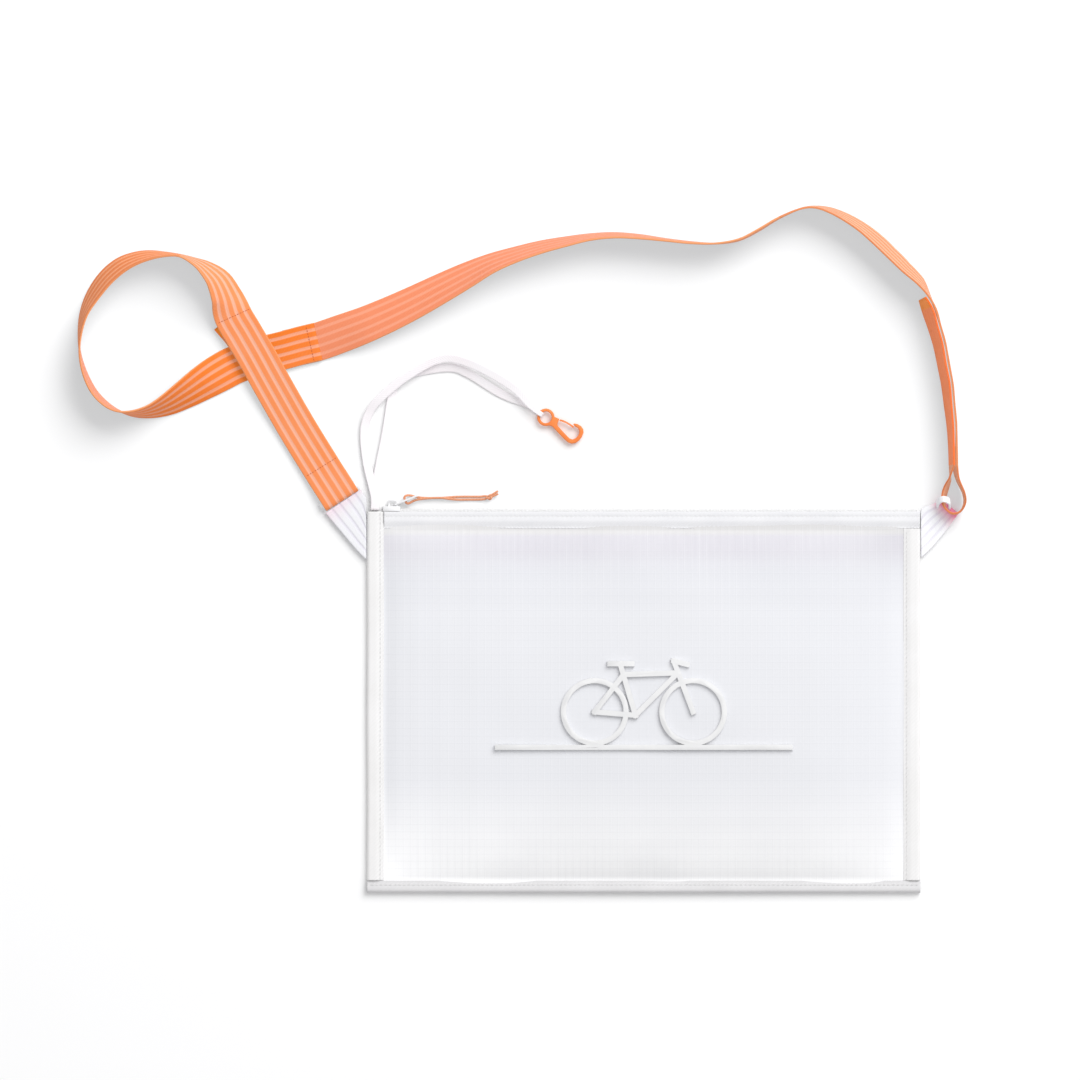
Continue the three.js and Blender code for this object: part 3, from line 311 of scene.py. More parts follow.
def mesh_object(name, points, faces, uvs=None):
    """A smooth mesh object; uvs holds one pair for each corner of each face, in order."""
    mesh = bpy.data.meshes.new(name)
    mesh.from_pydata([tuple(p) for p in np.asarray(points, float)], [], faces)
    if uvs is not None:
        layer = mesh.uv_layers.new(name="UVMap")
        layer.data.foreach_set("uv", np.asarray(uvs, np.float32).ravel())
    mesh.polygons.foreach_set("use_smooth", np.ones(len(mesh.polygons), bool))
    mesh.update()
    made = bpy.data.objects.new(name, mesh)
    bpy.context.scene.collection.objects.link(made)
    return made


def ring_faces(rings, sides):
    """Quads between rings of points that follow each other."""
    ring, side = np.divmod(np.arange((rings - 1) * sides), sides)
    first, second = ring * sides + side, ring * sides + (side + 1) % sides
    return np.stack([first, second, second + sides, first + sides], axis=1)


def loft(name, rings, around=None, along=None):
    """Closed mesh through rings of points. Its UV map runs round the ring and along it, in metres."""
    rings = np.asarray(rings, float)
    count, sides, _ = rings.shape
    if around is None:
        around = lengths(np.vstack([rings[0], rings[0][:1]]))
    if along is None:
        along = lengths(rings.mean(axis=1))
    ring, side = np.divmod(np.arange((count - 1) * sides), sides)
    u0, u1, v0, v1 = around[side], around[side + 1], along[ring], along[ring + 1]
    uvs = np.stack([u0, v0, u1, v0, u1, v1, u0, v1], axis=1).reshape(-1, 2)
    last = (count - 1) * sides
    caps = [list(range(sides - 1, -1, -1)), list(range(last, last + sides))]
    cap_uvs = [(around[s], along[0]) for s in caps[0]] + [(around[s], along[-1]) for s in range(sides)]
    faces = ring_faces(count, sides).tolist() + caps
    return mesh_object(name, rings.reshape(-1, 3), faces, np.vstack([uvs, cap_uvs]))


def ribbon(name, frames, outline, thick):
    """A ribbon through frames, with UV shares across it and lengths along it in its widths."""
    outline = np.asarray(outline, float)
    rings = (
        frames.place[:, None, :]
        + frames.across[:, None, :] * (outline[None, :, :1] * frames.width[:, None, None])
        + frames.face[:, None, :] * (outline[None, :, 1:] * thick)
    )
    around = np.append(outline[:, 0], outline[0, 0]) + 0.5
    return loft(name, rings, around, lengths(frames.place) / frames.width.max())


TO_THE_END = 100000


def set_face_material(piece, columns, webbing_name, rings=(0, TO_THE_END)):
    """Gives another webbing to a strap's faces in some columns of its section and some rings."""
    piece.data.materials.append(strap_webbing[webbing_name])
    index = np.zeros(len(piece.data.polygons), np.int32)
    piece.data.polygons.foreach_get("material_index", index)
    ring, side = np.divmod(np.arange(len(index)), SIDES)
    chosen = (side >= columns[0]) & (side < columns[1]) & (ring >= rings[0]) & (ring < rings[1])
    chosen[-2:] = False
    index[chosen] = len(piece.data.materials) - 1
    piece.data.polygons.foreach_set("material_index", index)


def grooves(u, depth, half=0.043):
    """Depth of the four shallow grooves between the webbing's ribs, at shares of its width."""
    total = np.zeros_like(u)
    for middle in (-0.326, -0.109, 0.109, 0.326):
        near = np.clip(1 - np.abs(u - middle) / half, 0, 1)
        total += near * near * (3 - 2 * near)
    return depth * np.clip(total, 0, 1)


def webbing_outline(depth, back_depth, columns=44):
    """Section of the ribbed webbing: its plain back, then its ribbed face, anticlockwise."""
    u = np.linspace(-0.482, 0.482, columns)
    back = [(x, -0.5 + d) for x, d in zip(u, grooves(u, back_depth))]
    face = [(x, 0.5 - d) for x, d in zip(u[::-1], grooves(u[::-1], depth))]
    return [(-0.497, -0.32), *back, (0.497, -0.32), (0.5, 0), (0.497, 0.32), *face, (-0.497, 0.32), (-0.5, 0)]


def flat_outline(columns=8):
    """Section of a plain narrow tape with soft edges."""
    u = np.linspace(-0.46, 0.46, columns)
    back = [(x, -0.5) for x in u]
    face = [(x, 0.5) for x in u[::-1]]
    return [(-0.495, -0.25), *back, (0.495, -0.25), (0.495, 0.25), *face, (-0.495, 0.25)]


def grid_wall(name, xs, ys, top, bottom):
    """Thin closed wall over a grid, between two height functions of arrays x and y."""
    x, y = np.meshgrid(xs, ys)
    upper = np.stack([x, y, top(x, y)], axis=-1).reshape(-1, 3)
    lower = np.stack([x, y, bottom(x, y)], axis=-1).reshape(-1, 3)
    columns, rows = len(xs), len(ys)
    under = columns * rows
    at = np.arange(under).reshape(rows, columns)
    a, b, c, d = at[:-1, :-1], at[:-1, 1:], at[1:, 1:], at[1:, :-1]
    faces = np.stack([a, b, c, d], axis=-1).reshape(-1, 4)
    edge = np.concatenate([
        np.stack([at[0, :-1], at[0, 1:]], axis=-1),
        np.stack([at[:-1, -1], at[1:, -1]], axis=-1),
        np.stack([at[-1, 1:], at[-1, :-1]], axis=-1),
        np.stack([at[1:, 0], at[:-1, 0]], axis=-1),
    ])
    sides = np.stack([edge[:, 0] + under, edge[:, 1] + under, edge[:, 1], edge[:, 0]], axis=-1)
    faces = np.concatenate([faces, faces[:, ::-1] + under, sides])
    points = np.concatenate([upper, lower])
    return mesh_object(name, points, faces.tolist(), points[faces.ravel(), :2])


def copies(name, shape, faces, places, directions):
    """One mesh of many copies of a small shape; each has a place and three directions."""
    shape = np.asarray(shape, float)
    points = places[:, None, :] + np.einsum("pk,nkc->npc", shape, directions)
    offsets = (np.arange(len(places)) * len(shape))[:, None, None]
    return mesh_object(name, points.reshape(-1, 3), (faces[None] + offsets).reshape(-1, 4).tolist())


def bead(sides=6):
    """A long bead along its first axis, as quads: points within 1 each way."""
    rings = [(-1, 0.12), (-0.75, 0.75), (0, 1), (0.75, 0.75), (1, 0.12)]
    turn = np.linspace(0, 2 * np.pi, sides, endpoint=False)
    points = [(x, r * np.cos(t), r * np.sin(t)) for x, r in rings for t in turn]
    return points, ring_faces(len(rings), sides)


def stitch_row(name, line, ups, pitch, length, thick):
    """Stitches along a line of points, half sunk in a surface with normals `ups`."""
    gone = lengths(line)
    spots = np.arange(pitch / 2, gone[-1], pitch)

    def read(values, shift=0.0):
        return np.stack([np.interp(spots + shift, gone, values[:, k]) for k in range(3)], axis=1)

    up, along = unit(read(ups)), unit(read(line, pitch / 4) - read(line, -pitch / 4))
    side = np.cross(up, along)
    directions = np.stack([along * length / 2, side * thick / 2, up * thick / 2], axis=1)
    points, faces = bead()
    return copies(name, points, faces, read(line), directions)


def tube(name, path, radius, sides=12):
    """Tube along a path of points, with frames that don't twist."""
    path = np.asarray(path, float)
    travel = unit(np.gradient(path, axis=0))
    side = np.cross(travel[0], UP)
    rings = []
    turn = np.linspace(0, 2 * np.pi, sides, endpoint=False)[:, None]
    for spot, ahead in zip(path, travel):
        side = unit(side - ahead * np.dot(side, ahead))
        rings.append(spot + radius * (side * np.cos(turn) + np.cross(ahead, side) * np.sin(turn)))
    return loft(name, rings)


# Nodes


class Shader:
    """Node tree of one material, with a Principled shader whose constants are on its sockets."""

    def __init__(self, name, roughness, specular=0.5, sheen=0.0, light=FLAT_LIGHT):
        self.light = light
        self.material = bpy.data.materials.new(name)
        self.material.use_nodes = True
        self.tree = self.material.node_tree
        self.bsdf = self.tree.nodes["Principled BSDF"]
        self.bsdf.inputs["Roughness"].default_value = roughness
        self.bsdf.inputs["Specular IOR Level"].default_value = specular
        self.bsdf.inputs["Sheen Weight"].default_value = sheen
        self.coordinates = self.tree.nodes.new("ShaderNodeTexCoord").outputs

    def node(self, kind, settings, inputs, output):
        """Output of a new node. Its inputs are values, or outputs of other nodes."""
        made = self.tree.nodes.new(f"ShaderNode{kind}")
        for key, value in settings.items():
            setattr(made, key, value)
        for key, value in inputs.items():
            if isinstance(value, bpy.types.NodeSocket):
                self.tree.links.new(value, made.inputs[key])
            else:
                made.inputs[key].default_value = value
        return made.outputs[output]

    def uv(self, axis):
        return self.node("SeparateXYZ", {}, {"Vector": self.coordinates["UV"]}, axis)

    def noise(self, scale, detail=3.0, stretch=(1, 1, 1)):
        place = self.node("Mapping", {}, {"Vector": self.coordinates["Object"], "Scale": stretch}, "Vector")
        return self.node("TexNoise", {}, {"Vector": place, "Scale": scale, "Detail": detail}, "Fac")

    def wave(self, direction, period, distortion=0.0):
        return self.node("TexWave", {"bands_direction": direction}, {
            "Vector": self.coordinates["UV"], "Scale": 2 * math.pi / (20 * period),
            "Distortion": distortion, "Detail": 1.0, "Detail Scale": 2.0,
        }, "Fac")

    def shown(self, colour):
        """A colour in steps of 255 as the node's four shares; four shares stay as they are."""
        return (*linear(colour, self.light), 1) if len(colour) == 3 else colour

    def ramp(self, value, stops):
        node = self.tree.nodes.new("ShaderNodeValToRGB")
        elements = node.color_ramp.elements
        for index, (position, colour) in enumerate(stops):
            element = elements[index] if index < 2 else elements.new(position)
            element.position = position
            element.color = self.shown(colour)
        self.tree.links.new(value, node.inputs["Fac"])
        return node.outputs["Color"]

    def levels(self, value, low, high):
        """The value spread so that low becomes 0 and high becomes 1."""
        return self.node("MapRange", {}, {"Value": value, "From Min": low, "From Max": high}, "Result")

    def maths(self, operation, first, second):
        return self.node("Math", {"operation": operation}, {0: first, 1: second}, "Value")

    def times(self, first, second):
        return self.maths("MULTIPLY", first, second)

    def plus(self, first, second):
        return self.maths("ADD", first, second)

    def mix(self, factor, first, second, blend="MIX"):
        first, second = (self.shown(c) if isinstance(c, tuple) else c for c in (first, second))
        settings = {"data_type": "RGBA", "blend_type": blend}
        return self.node("Mix", settings, {0: factor, 6: first, 7: second}, 2)

    def webbing_relief(self, thread):
        """Height of woven webbing: weft threads and warp threads."""
        return self.plus(self.times(thread, 0.7), self.times(self.wave("X", 0.027), 0.5))

    def finish(self, colour, height=None, distance=0.0001, strength=1.0):
        self.tree.links.new(colour, self.bsdf.inputs["Base Color"])
        if height is not None:
            relief = {"Height": height, "Distance": distance, "Strength": strength}
            self.tree.links.new(self.node("Bump", {}, relief, "Normal"), self.bsdf.inputs["Normal"])
        return self.material


def linear(colour, light):
    """Surface colour that looks like an sRGB colour, in steps of 255, in this much light."""
    shares = [c / 255 for c in colour]
    seen = [s / 12.92 if s <= 0.04045 else ((s + 0.055) / 1.055) ** 2.4 for s in shares]
    return tuple(min(BRIGHTEST, s / light) for s in seen)


def stripes(base, pale, edge, half):
    """Colour stops of the webbing's four pale stripes across its width, from 0 to 1."""
    stops = [(0.0, edge), (0.03, base)]
    for middle in (0.174, 0.391, 0.609, 0.826):
        stops += [(middle - half, base), (middle - half * 0.55, pale), (middle + half * 0.55, pale)]
        stops += [(middle + half, base)]
    return [*stops, (0.97, base), (1.0, edge)]


def webbing_material(name, base, pale, edge, dark, half, grain, light=FLAT_LIGHT):
    """Ribbed orange webbing: stripes across, weft ridges along, a little fibre noise."""
    shader = Shader(name, 0.78, 0.25, sheen=0.08, light=light)
    colour = shader.ramp(shader.uv("X"), stripes(base, pale, edge, half))
    tone = shader.noise(60, detail=2)
    colour = shader.mix(shader.levels(tone, 0.35, 0.75), colour, shader.mix(0.12, colour, pale))
    thread = shader.wave("Y", 0.036, distortion=0.3)
    colour = shader.mix(shader.times(thread, grain), colour, shader.mix(0.5, colour, dark))
    fibre = shader.noise(3000, detail=2)
    height = shader.plus(shader.webbing_relief(thread), shader.times(fibre, 0.3))
    return shader.finish(colour, height, 0.00012, 0.8)


def white_webbing_material(name, start, end, show_through_and_painted_bounce_pink, share, light):
    """White ribbed webbing; its far end is pink, partly where the orange strap shows through and partly
    painted orange light bounced from the strap.
    """
    shader = Shader(name, 0.8, 0.35, sheen=0.1, light=light)
    rib = (250, 250, 253)
    # Painted shade: the grooves between the ribs are a little darker.
    groove_painted_shade = (238, 236, 244)
    colour = shader.ramp(shader.uv("X"), stripes(rib, groove_painted_shade, (244, 243, 248), 0.05))
    show_through_and_painted_bounce = shader.levels(shader.uv("Y"), start, end)
    # Painted light in part: pink towards the far end, partly the orange strap showing through and partly
    # orange light bounced from it.
    colour = shader.mix(shader.times(shader.maths("POWER", show_through_and_painted_bounce, 2.5), share), colour, show_through_and_painted_bounce_pink)
    thread = shader.wave("Y", 0.036, distortion=0.3)
    colour = shader.mix(shader.times(thread, 0.15), colour, (228, 228, 234))
    return shader.finish(colour, shader.webbing_relief(thread), 0.00012, 0.8)


# Painted light over the wall across the bag, lighter near the side margins where the crown slopes down: share
# of its width, share of its colour
MARGIN_PAINTED_LIGHT = [
    (0.0, 1.0), (0.034, 1.07), (0.05, 1.1), (0.16, 1.05), (0.4, 1.0), (0.93, 1.0), (0.96, 1.03), (1.0, 1.0),
]


def ripstop_material(name, bottom, low, field, head, top, seam):
    """Sheer ripstop: a grid of thicker threads, tones that drift, a tone that is darker towards the top, and
    painted light towards the hem and the side margins.
    """
    shader = Shader(name, 0.5, 0.3, sheen=0.05)
    length = shader.levels(shader.uv("Y"), -HALF_HEIGHT, HALF_HEIGHT)
    # Tone along the bag: darker towards the top; lighter towards the hem, painted light against the shade of
    # the crown's lower slope.
    colour = shader.ramp(length, [
        (0.0, bottom), (0.06, bottom), (0.14, low), (0.3, field), (0.72, field), (0.84, head), (0.90, top),
        (0.935, top), (0.945, seam), (1.0, seam),
    ])
    patch = shader.noise(16, detail=4)
    patch = shader.times(shader.levels(patch, 0.42, 0.68), 0.25)
    colour = shader.mix(patch, colour, (243, 243, 246))
    # Painted light: lighter near the side margins.
    width = shader.levels(shader.uv("X"), -HALF_WIDTH, HALF_WIDTH)
    margin_painted_light = shader.ramp(width, [(share, (tone, tone, tone, 1)) for share, tone in MARGIN_PAINTED_LIGHT])
    colour = shader.mix(1.0, colour, margin_painted_light, "MULTIPLY")
    strong = shader.levels(shader.wave("X", 0.0048), 0.88, 1.0)
    weak = shader.levels(shader.wave("X", 0.0024), 0.8, 1.0)
    cross = shader.levels(shader.wave("Y", 0.0048), 0.9, 1.0)
    streak = shader.noise(90, detail=3, stretch=(1, 0.08, 1))
    lines = shader.plus(shader.times(strong, 0.28), shader.times(weak, 0.15))
    lines = shader.times(lines, shader.levels(streak, 0.35, 0.7))
    colour = shader.mix(lines, colour, (252, 252, 255))
    colour = shader.mix(shader.times(cross, 0.08), colour, (228, 229, 236))
    fine = shader.wave("Y", 0.0006)
    height = shader.plus(shader.times(strong, 1.0), shader.times(cross, 0.7))
    height = shader.plus(height, shader.times(fine, 0.15))
    return shader.finish(colour, height, 0.00006, 0.5)


def tape_material(name, base, dark, period, light=FLAT_LIGHT):
    """Woven tape with fine slanted ridges."""
    shader = Shader(name, 0.85, 0.25, sheen=0.1, light=light)
    drift = shader.noise(45, detail=4)
    colour = shader.mix(shader.levels(drift, 0.3, 0.75), base, dark)
    ridge = shader.wave("DIAGONAL", period, distortion=0.4)
    colour = shader.mix(shader.times(ridge, 0.15), colour, dark)
    fibre = shader.noise(2600, detail=2)
    height = shader.plus(ridge, shader.times(fibre, 0.4))
    return shader.finish(colour, height, 0.0001, 0.8)


def plastic_material(name, base, dark, roughness, texture, light=FLAT_LIGHT):
    """Moulded plastic with a fine skin and slight tone changes."""
    shader = Shader(name, roughness, 0.5, light=light)
    drift = shader.noise(140, detail=3)
    colour = shader.mix(shader.levels(drift, 0.3, 0.8), base, dark)
    skin = shader.noise(texture, detail=2)
    return shader.finish(colour, skin, 0.00004, 0.5)


def cord_material(name, base, dark, ratio):
    """Braided cord: crossing slanted strands."""
    shader = Shader(name, 0.7, 0.3, sheen=0.1)
    over = shader.wave("DIAGONAL", ratio, distortion=0.2)
    drift = shader.noise(300, detail=3)
    colour = shader.mix(shader.times(over, 0.4), base, dark)
    colour = shader.mix(shader.levels(drift, 0.4, 0.8), colour, base)
    return shader.finish(colour, over, 0.00015, 0.9)


# Camera, straight above as in the photograph
camera_data = bpy.data.cameras.new("camera")
camera_data.sensor_width = 36
camera_data.lens = 36 * CAMERA_HEIGHT / FRAME_WIDTH
camera = bpy.data.objects.new("camera", camera_data)
camera.location = (*FRAME_MIDDLE, CAMERA_HEIGHT)
bpy.context.scene.collection.objects.link(camera)
bpy.context.scene.camera = camera
bpy.context.scene.view_settings.view_transform = "Standard"

# Free cords from the pull's hole to the knot
pull_forward = np.array([
    math.cos(PULL_HEADING) * math.cos(PULL_PITCH),
    math.sin(PULL_HEADING) * math.cos(PULL_PITCH),
    math.sin(PULL_PITCH),
])
pull_side = np.array([-math.sin(PULL_HEADING), math.cos(PULL_HEADING), 0.0])
leg_middle = np.array([
    -HALF_WIDTH + BINDING_WIDTH - TAPE / 2 + SLIDER_LENGTH * 0.3 + LEG_AHEAD,
    HALF_HEIGHT + COIL_OVER + GAP + SLIDER_TOP + LEG_HEIGHT / 2,
    (TAPE + TOP_EDGE) / 2,
])
cord_hole = leg_middle + pull_forward * (PULL_LENGTH * 0.45 - PULL_SLOT_MIDDLE)

cord_orange = cord_material("cord", (248, 172, 132), (230, 128, 82), 0.0011)


def centripetal(points, count):
    """Points along a centripetal Catmull-Rom curve through points."""
    points = np.asarray(points, float)
    ends = np.vstack([2 * points[0] - points[1], points, 2 * points[-1] - points[-2]])
    found = []
    last = len(points) - 1
    for spot in np.linspace(0, last, count):
        row = min(int(spot), last - 1)
        t = spot - row
        p0, p1, p2, p3 = ends[row:row + 4]
        d0, d1, d2 = (np.linalg.norm(b - a) ** 0.5 for a, b in ((p0, p1), (p1, p2), (p2, p3)))
        leave = (p1 - p0) / d0 - (p2 - p0) / (d0 + d1) + (p2 - p1) / d1
        arrive = (p2 - p1) / d1 - (p3 - p1) / (d1 + d2) + (p3 - p2) / d2
        m1, m2 = leave * d1, arrive * d1
        found.append(
            (2 * p1 - 2 * p2 + m1 + m2) * t ** 3 + (-3 * p1 + 3 * p2 - 2 * m1 - m2) * t ** 2 + m1 * t + p1
        )
    return np.array(found)


def cord_entry(side, distance, drop):
    return cord_hole + pull_side * side * distance - UP * drop


near_path = centripetal([cord_entry(-1, 0.00015, 0), cord_entry(-1, 0.0017, 0.0001), *CORD_NEAR], 90)
far_path = centripetal([cord_entry(1, 0.00015, 0), cord_entry(1, 0.0018, 0.0002), *CORD_FAR], 90)
cord_near = tube("zip_cord_near", near_path, CORD_DIAMETER / 2)
cord_far = tube("zip_cord_far", far_path, CORD_DIAMETER / 2)


def knot_mesh():
    """Path of an overhand knot of the doubled cord, a trefoil, with its heading and side; its two short cut
    ends are made after it.
    """
    turn = np.linspace(0, 2 * np.pi, 73)
    loop = np.stack([
        0.62 * (np.sin(turn) + 2 * np.sin(2 * turn)),
        0.62 * (np.cos(turn) - 2 * np.cos(2 * turn)),
        -0.9 * np.sin(3 * turn),
    ], axis=1)
    heading = math.radians(28)
    ahead = np.array([math.cos(heading), math.sin(heading), 0])
    side = np.array([-math.sin(heading), math.cos(heading), 0])
    loop = KNOT_CENTRE + loop[:, :1] * ahead * 0.00112 + (loop[:, 1:2] * side + loop[:, 2:] * UP) * 0.00078
    return loop, ahead, side


knot_loop, knot_ahead, knot_side = knot_mesh()
knot = tube("zip_cord_knot", knot_loop, CORD_DIAMETER * 0.42, 10)
ends = []
for index, (shift, length) in enumerate(((0.00055, 0.0068), (-0.0005, 0.0060))):
    root = KNOT_CENTRE + knot_side * shift
    steps = np.linspace(0.0006, length, 12)[:, None]
    bend = knot_side * shift * 0.6 * (steps / length) ** 2
    ends.append(tube(f"zip_cord_end_{index}", root + knot_ahead * steps + bend, CORD_DIAMETER * 0.46, 10))
for piece in (cord_near, cord_far, knot, *ends):
    piece.visible_diffuse = False
    piece.data.materials.append(cord_orange)
    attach(piece, "bag")
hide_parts("zip_pull_cord_near")
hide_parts("zip_pull_cord_far")
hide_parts("zip_pull_knot")


# Materials of the bag
ORANGE = (255, 150, 88)
STRIPE = (255, 186, 156)
ORANGE_EDGE = (250, 168, 112)
ORANGE_DARK = (226, 100, 34)
# Strap webbings: colours of base, stripes, edges and weft, half width of a stripe, weft's share, light
STRAP_WEBBINGS = {
    "striped": (ORANGE, STRIPE, ORANGE_EDGE, ORANGE_DARK, 0.058, 0.12, STRAP_LIGHT),
    # Painted light: a more saturated copy for the left strap's lower run, from the loop's lower side to the
    # seam, as it looks in its light.
    "lower_run_lit": ((255, 130, 36), (255, 172, 136), ORANGE_EDGE, ORANGE_DARK, 0.055, 0.12, STRAP_LIGHT),
    "plain": ((248, 146, 104), (253, 166, 132), ORANGE_EDGE, (236, 126, 80), 0.05, 0.12, STRAP_LIGHT),
    # Painted light: a paler copy for the right strap's crest, upright run and end loop, as they look in the
    # lamp's light.
    "pale_lit": ((253, 180, 142), (236, 136, 84), (232, 132, 80), (226, 134, 90), 0.05, 0.06, STRAP_LIGHT),
    # Painted shade: a darker, lower-contrast copy for the top of the left strap's loop, where it stands
    # upright.
    "looped": ((240, 130, 60), (255, 170, 120), (238, 150, 96), ORANGE_DARK, 0.055, 0.12, STRAP_LIGHT),
    # Painted light: a brighter, more saturated copy for the right strap's doubled end, which stands in shade.
    "shade_brightened": ((255, 120, 66), (255, 128, 76), (244, 104, 48), (248, 104, 48), 0.05, 0.12, SHADE_LIGHT),
    # Painted light and shade: the straps' free ends in a deep, saturated orange as they look in shade,
    # brightened by the shade's light value.
    "flap": ((252, 126, 38), (252, 132, 48), (236, 96, 30), (240, 104, 34), 0.05, 0.12, SHADE_LIGHT),
}
strap_webbing = {name: webbing_material(f"{name}_webbing", *row) for name, row in STRAP_WEBBINGS.items()}
white_webbing = white_webbing_material("white_webbing", 0.45, 1.0, (255, 170, 200), 0.7, STRAP_LIGHT)
# The right tab's copy: pinker, and with a low light value, so painted brighter against the shade where it
# lies.
show_through_and_painted_bounce_webbing = white_webbing_material("show_through_and_painted_bounce_webbing", 0.4, 0.8, (255, 104, 150), 0.9, 1.04)
# The first two colours, lighter towards the hem, are painted light; head, top and seam are darker towards the
# top.
ripstop = ripstop_material(
    "ripstop", (0.88, 0.88, 0.885, 1), (0.82, 0.82, 0.83, 1), (244, 245, 249), (236, 237, 242),
    (226, 224, 231), (232, 231, 231),
)
binding_tape = tape_material("binding_tape", (253, 252, 252), (246, 245, 244), 0.0013, 1.22)
zip_tape = tape_material("zip_tape", (251, 251, 253), (244, 244, 247), 0.0011, 1.22)
hem_cloth = tape_material("hem_cloth", (241, 240, 241), (231, 230, 231), 0.0012, 1.3)
narrow_tape = tape_material("narrow_tape", (248, 247, 249), (240, 239, 242), 0.16, 1.02)
coil_nylon = plastic_material("zip_coil", (255, 255, 255), (251, 251, 251), 0.4, 900, 1.24)
slider_enamel = plastic_material("slider_finish", (246, 246, 247), (234, 234, 236), 0.28, 700, 1.06)
hook_plastic = plastic_material("hook_plastic", (250, 140, 62), (244, 124, 50), 0.38, 900, 1.12)
# The lanyard's low light value paints its white brighter, against the shade on its tilted faces.
lanyard_tape = tape_material("lanyard_tape", (248, 246, 248), (247, 240, 243), 0.16, 1.06)
badge_rubber = plastic_material("badge_rubber", (250, 250, 250), (242, 242, 243), 0.55, 1200)
thread = plastic_material("thread", (250, 250, 249), (240, 239, 238), 0.6, 4000)
orange_thread = plastic_material("orange_thread", (214, 96, 40), (190, 78, 30), 0.6, 4000)


def dress(piece, material, slot_name, *nodes):
    """Gives a piece its material when it has none, sets it on the bag, and hides the nodes that it stands
    for; slot_name is not used.
    """
    if not piece.data.materials:
        piece.data.materials.append(material)
    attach(piece, "bag")
    if nodes:
        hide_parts(*nodes)
    return piece


# The pouch walls
FIELD_SIDE = HALF_WIDTH - BINDING_WIDTH - CROWN_START
FIELD_FOOT = -HALF_HEIGHT + HEM_DEPTH + CROWN_START
FIELD_HEAD = HALF_HEIGHT - BAND_WIDTH - CROWN_START
FIELD_MIDDLE = (FIELD_FOOT + FIELD_HEAD) / 2
FIELD_HALF = (FIELD_HEAD - FIELD_FOOT) / 2
WALL_SIDE = HALF_WIDTH - TAPE - GAP
WALL_FOOT = -HALF_HEIGHT + TAPE + GAP
WALL_HEAD = HALF_HEIGHT + COIL_OVER - COIL_DEPTH - GAP


def crown_share(distance):
    """The crown table read along a smooth curve."""
    shares, heights = (np.array(column) for column in zip(*CROWN))
    fine = np.linspace(0, 1, 201)
    curve = np.interp(fine, shares, heights)
    kernel = np.hanning(11) / np.hanning(11).sum()
    mirrored = np.concatenate([curve[10:0:-1], curve, np.zeros(10)])
    smooth = np.convolve(mirrored, kernel, mode="same")[10:-10]
    return np.interp(np.clip(distance, 0, 1), fine, smooth)


def crown_at(x, y):
    sideways, upward = np.abs(x) / FIELD_SIDE, np.abs(y - FIELD_MIDDLE) / FIELD_HALF
    return BAG_CROWN * crown_share(sideways) * crown_share(upward)


def ripple(x, y):
    """Small gathers below the top band and above the hem, and long soft waves over the wall."""
    inside = np.clip((FIELD_SIDE - np.abs(x)) / 0.012, 0, 1)
    head = np.clip(1 - (FIELD_HEAD - y) / 0.026, 0, 1) * np.clip((FIELD_HEAD + 0.002 - y) / 0.003, 0, 1)
    foot = np.clip(1 - (y - FIELD_FOOT) / 0.030, 0, 1) * np.clip((y - FIELD_FOOT + 0.001) / 0.004, 0, 1)
    drift = np.sin(x * 61 + 1.3) + 0.6 * np.sin(x * 149 + 0.4)
    gather = np.sin(x * 1180 + 2.2 * drift) + 0.5 * np.sin(x * 640 + 1.7 * drift)
    waves = np.sin(x * 38 + 0.8 * np.sin(y * 21)) * np.sin(y * 27 + 1.1 * np.sin(x * 17))
    soft = np.sin(x * 83 + y * 31) * np.sin(y * 71 - x * 23 + 0.7)
    total = 0.00006 * gather * head ** 1.5 + 0.00005 * gather * foot ** 1.5
    return inside * (total + 0.00035 * waves + 0.00012 * soft)


def front_top(x, y):
    return FRONT_EDGE + CLOTH + crown_at(x, y) + np.where(crown_at(x, y) > 0, ripple(x, y), 0)


xs = np.unique(np.concatenate([np.linspace(-WALL_SIDE, WALL_SIDE, 240), [-FIELD_SIDE, FIELD_SIDE]]))
ys = np.unique(np.concatenate([np.linspace(WALL_FOOT, WALL_HEAD, 110), [FIELD_FOOT, FIELD_HEAD]]))
front = grid_wall("front_wall", xs, ys, front_top, lambda x, y: front_top(x, y) - PANEL_CLOTH)
dress(front, ripstop, "ripstop", "front_panel")


def back_top(x, y):
    inner_x = np.clip((FIELD_SIDE - np.abs(x)) / 0.005, 0, 1)
    inner_y = np.clip(np.minimum(y - FIELD_FOOT, FIELD_HEAD - y) / 0.005, 0, 1)
    return BACK_EDGE + CLOTH - BACK_EDGE * np.minimum(inner_x, inner_y)


back_xs = np.unique(np.concatenate([np.linspace(-WALL_SIDE, WALL_SIDE, 120), [-FIELD_SIDE, FIELD_SIDE]]))
back_ys = np.unique(np.concatenate([np.linspace(WALL_FOOT, WALL_HEAD, 80), [FIELD_FOOT, FIELD_HEAD]]))
back = grid_wall("back_wall", back_xs, back_ys, back_top, lambda x, y: back_top(x, y) - CLOTH * 0.95)
dress(back, ripstop, "ripstop", "back_panel")

# Bindings, hem and zip tapes, with a pucker at each stitch
STITCH_PITCH = 0.0030
STITCH_LENGTH = 0.0023
STITCH_THICK = 0.00034
STITCH_INSET = 0.0022
HEM_STITCH_INSET = 0.0026
BAND_STITCH = 0.1208
FOLD_START = 0.0022
FOLD_DEPTH = 0.0018
EDGE_SLOPE = 0.0055
EDGE_DROP = EDGE_STACK - FRONT_EDGE - CLOTH - 0.0002
EDGE_CLOTH = 0.00015
BAND_RIDGE = 0.0002


def edge_drop(inside):
    """Height that a tape loses at a distance inside its free edge, where it lies down on the wall."""
    near = np.clip(1 - inside / EDGE_SLOPE, 0, 1)
    return EDGE_DROP * near * near * (3 - 2 * near)


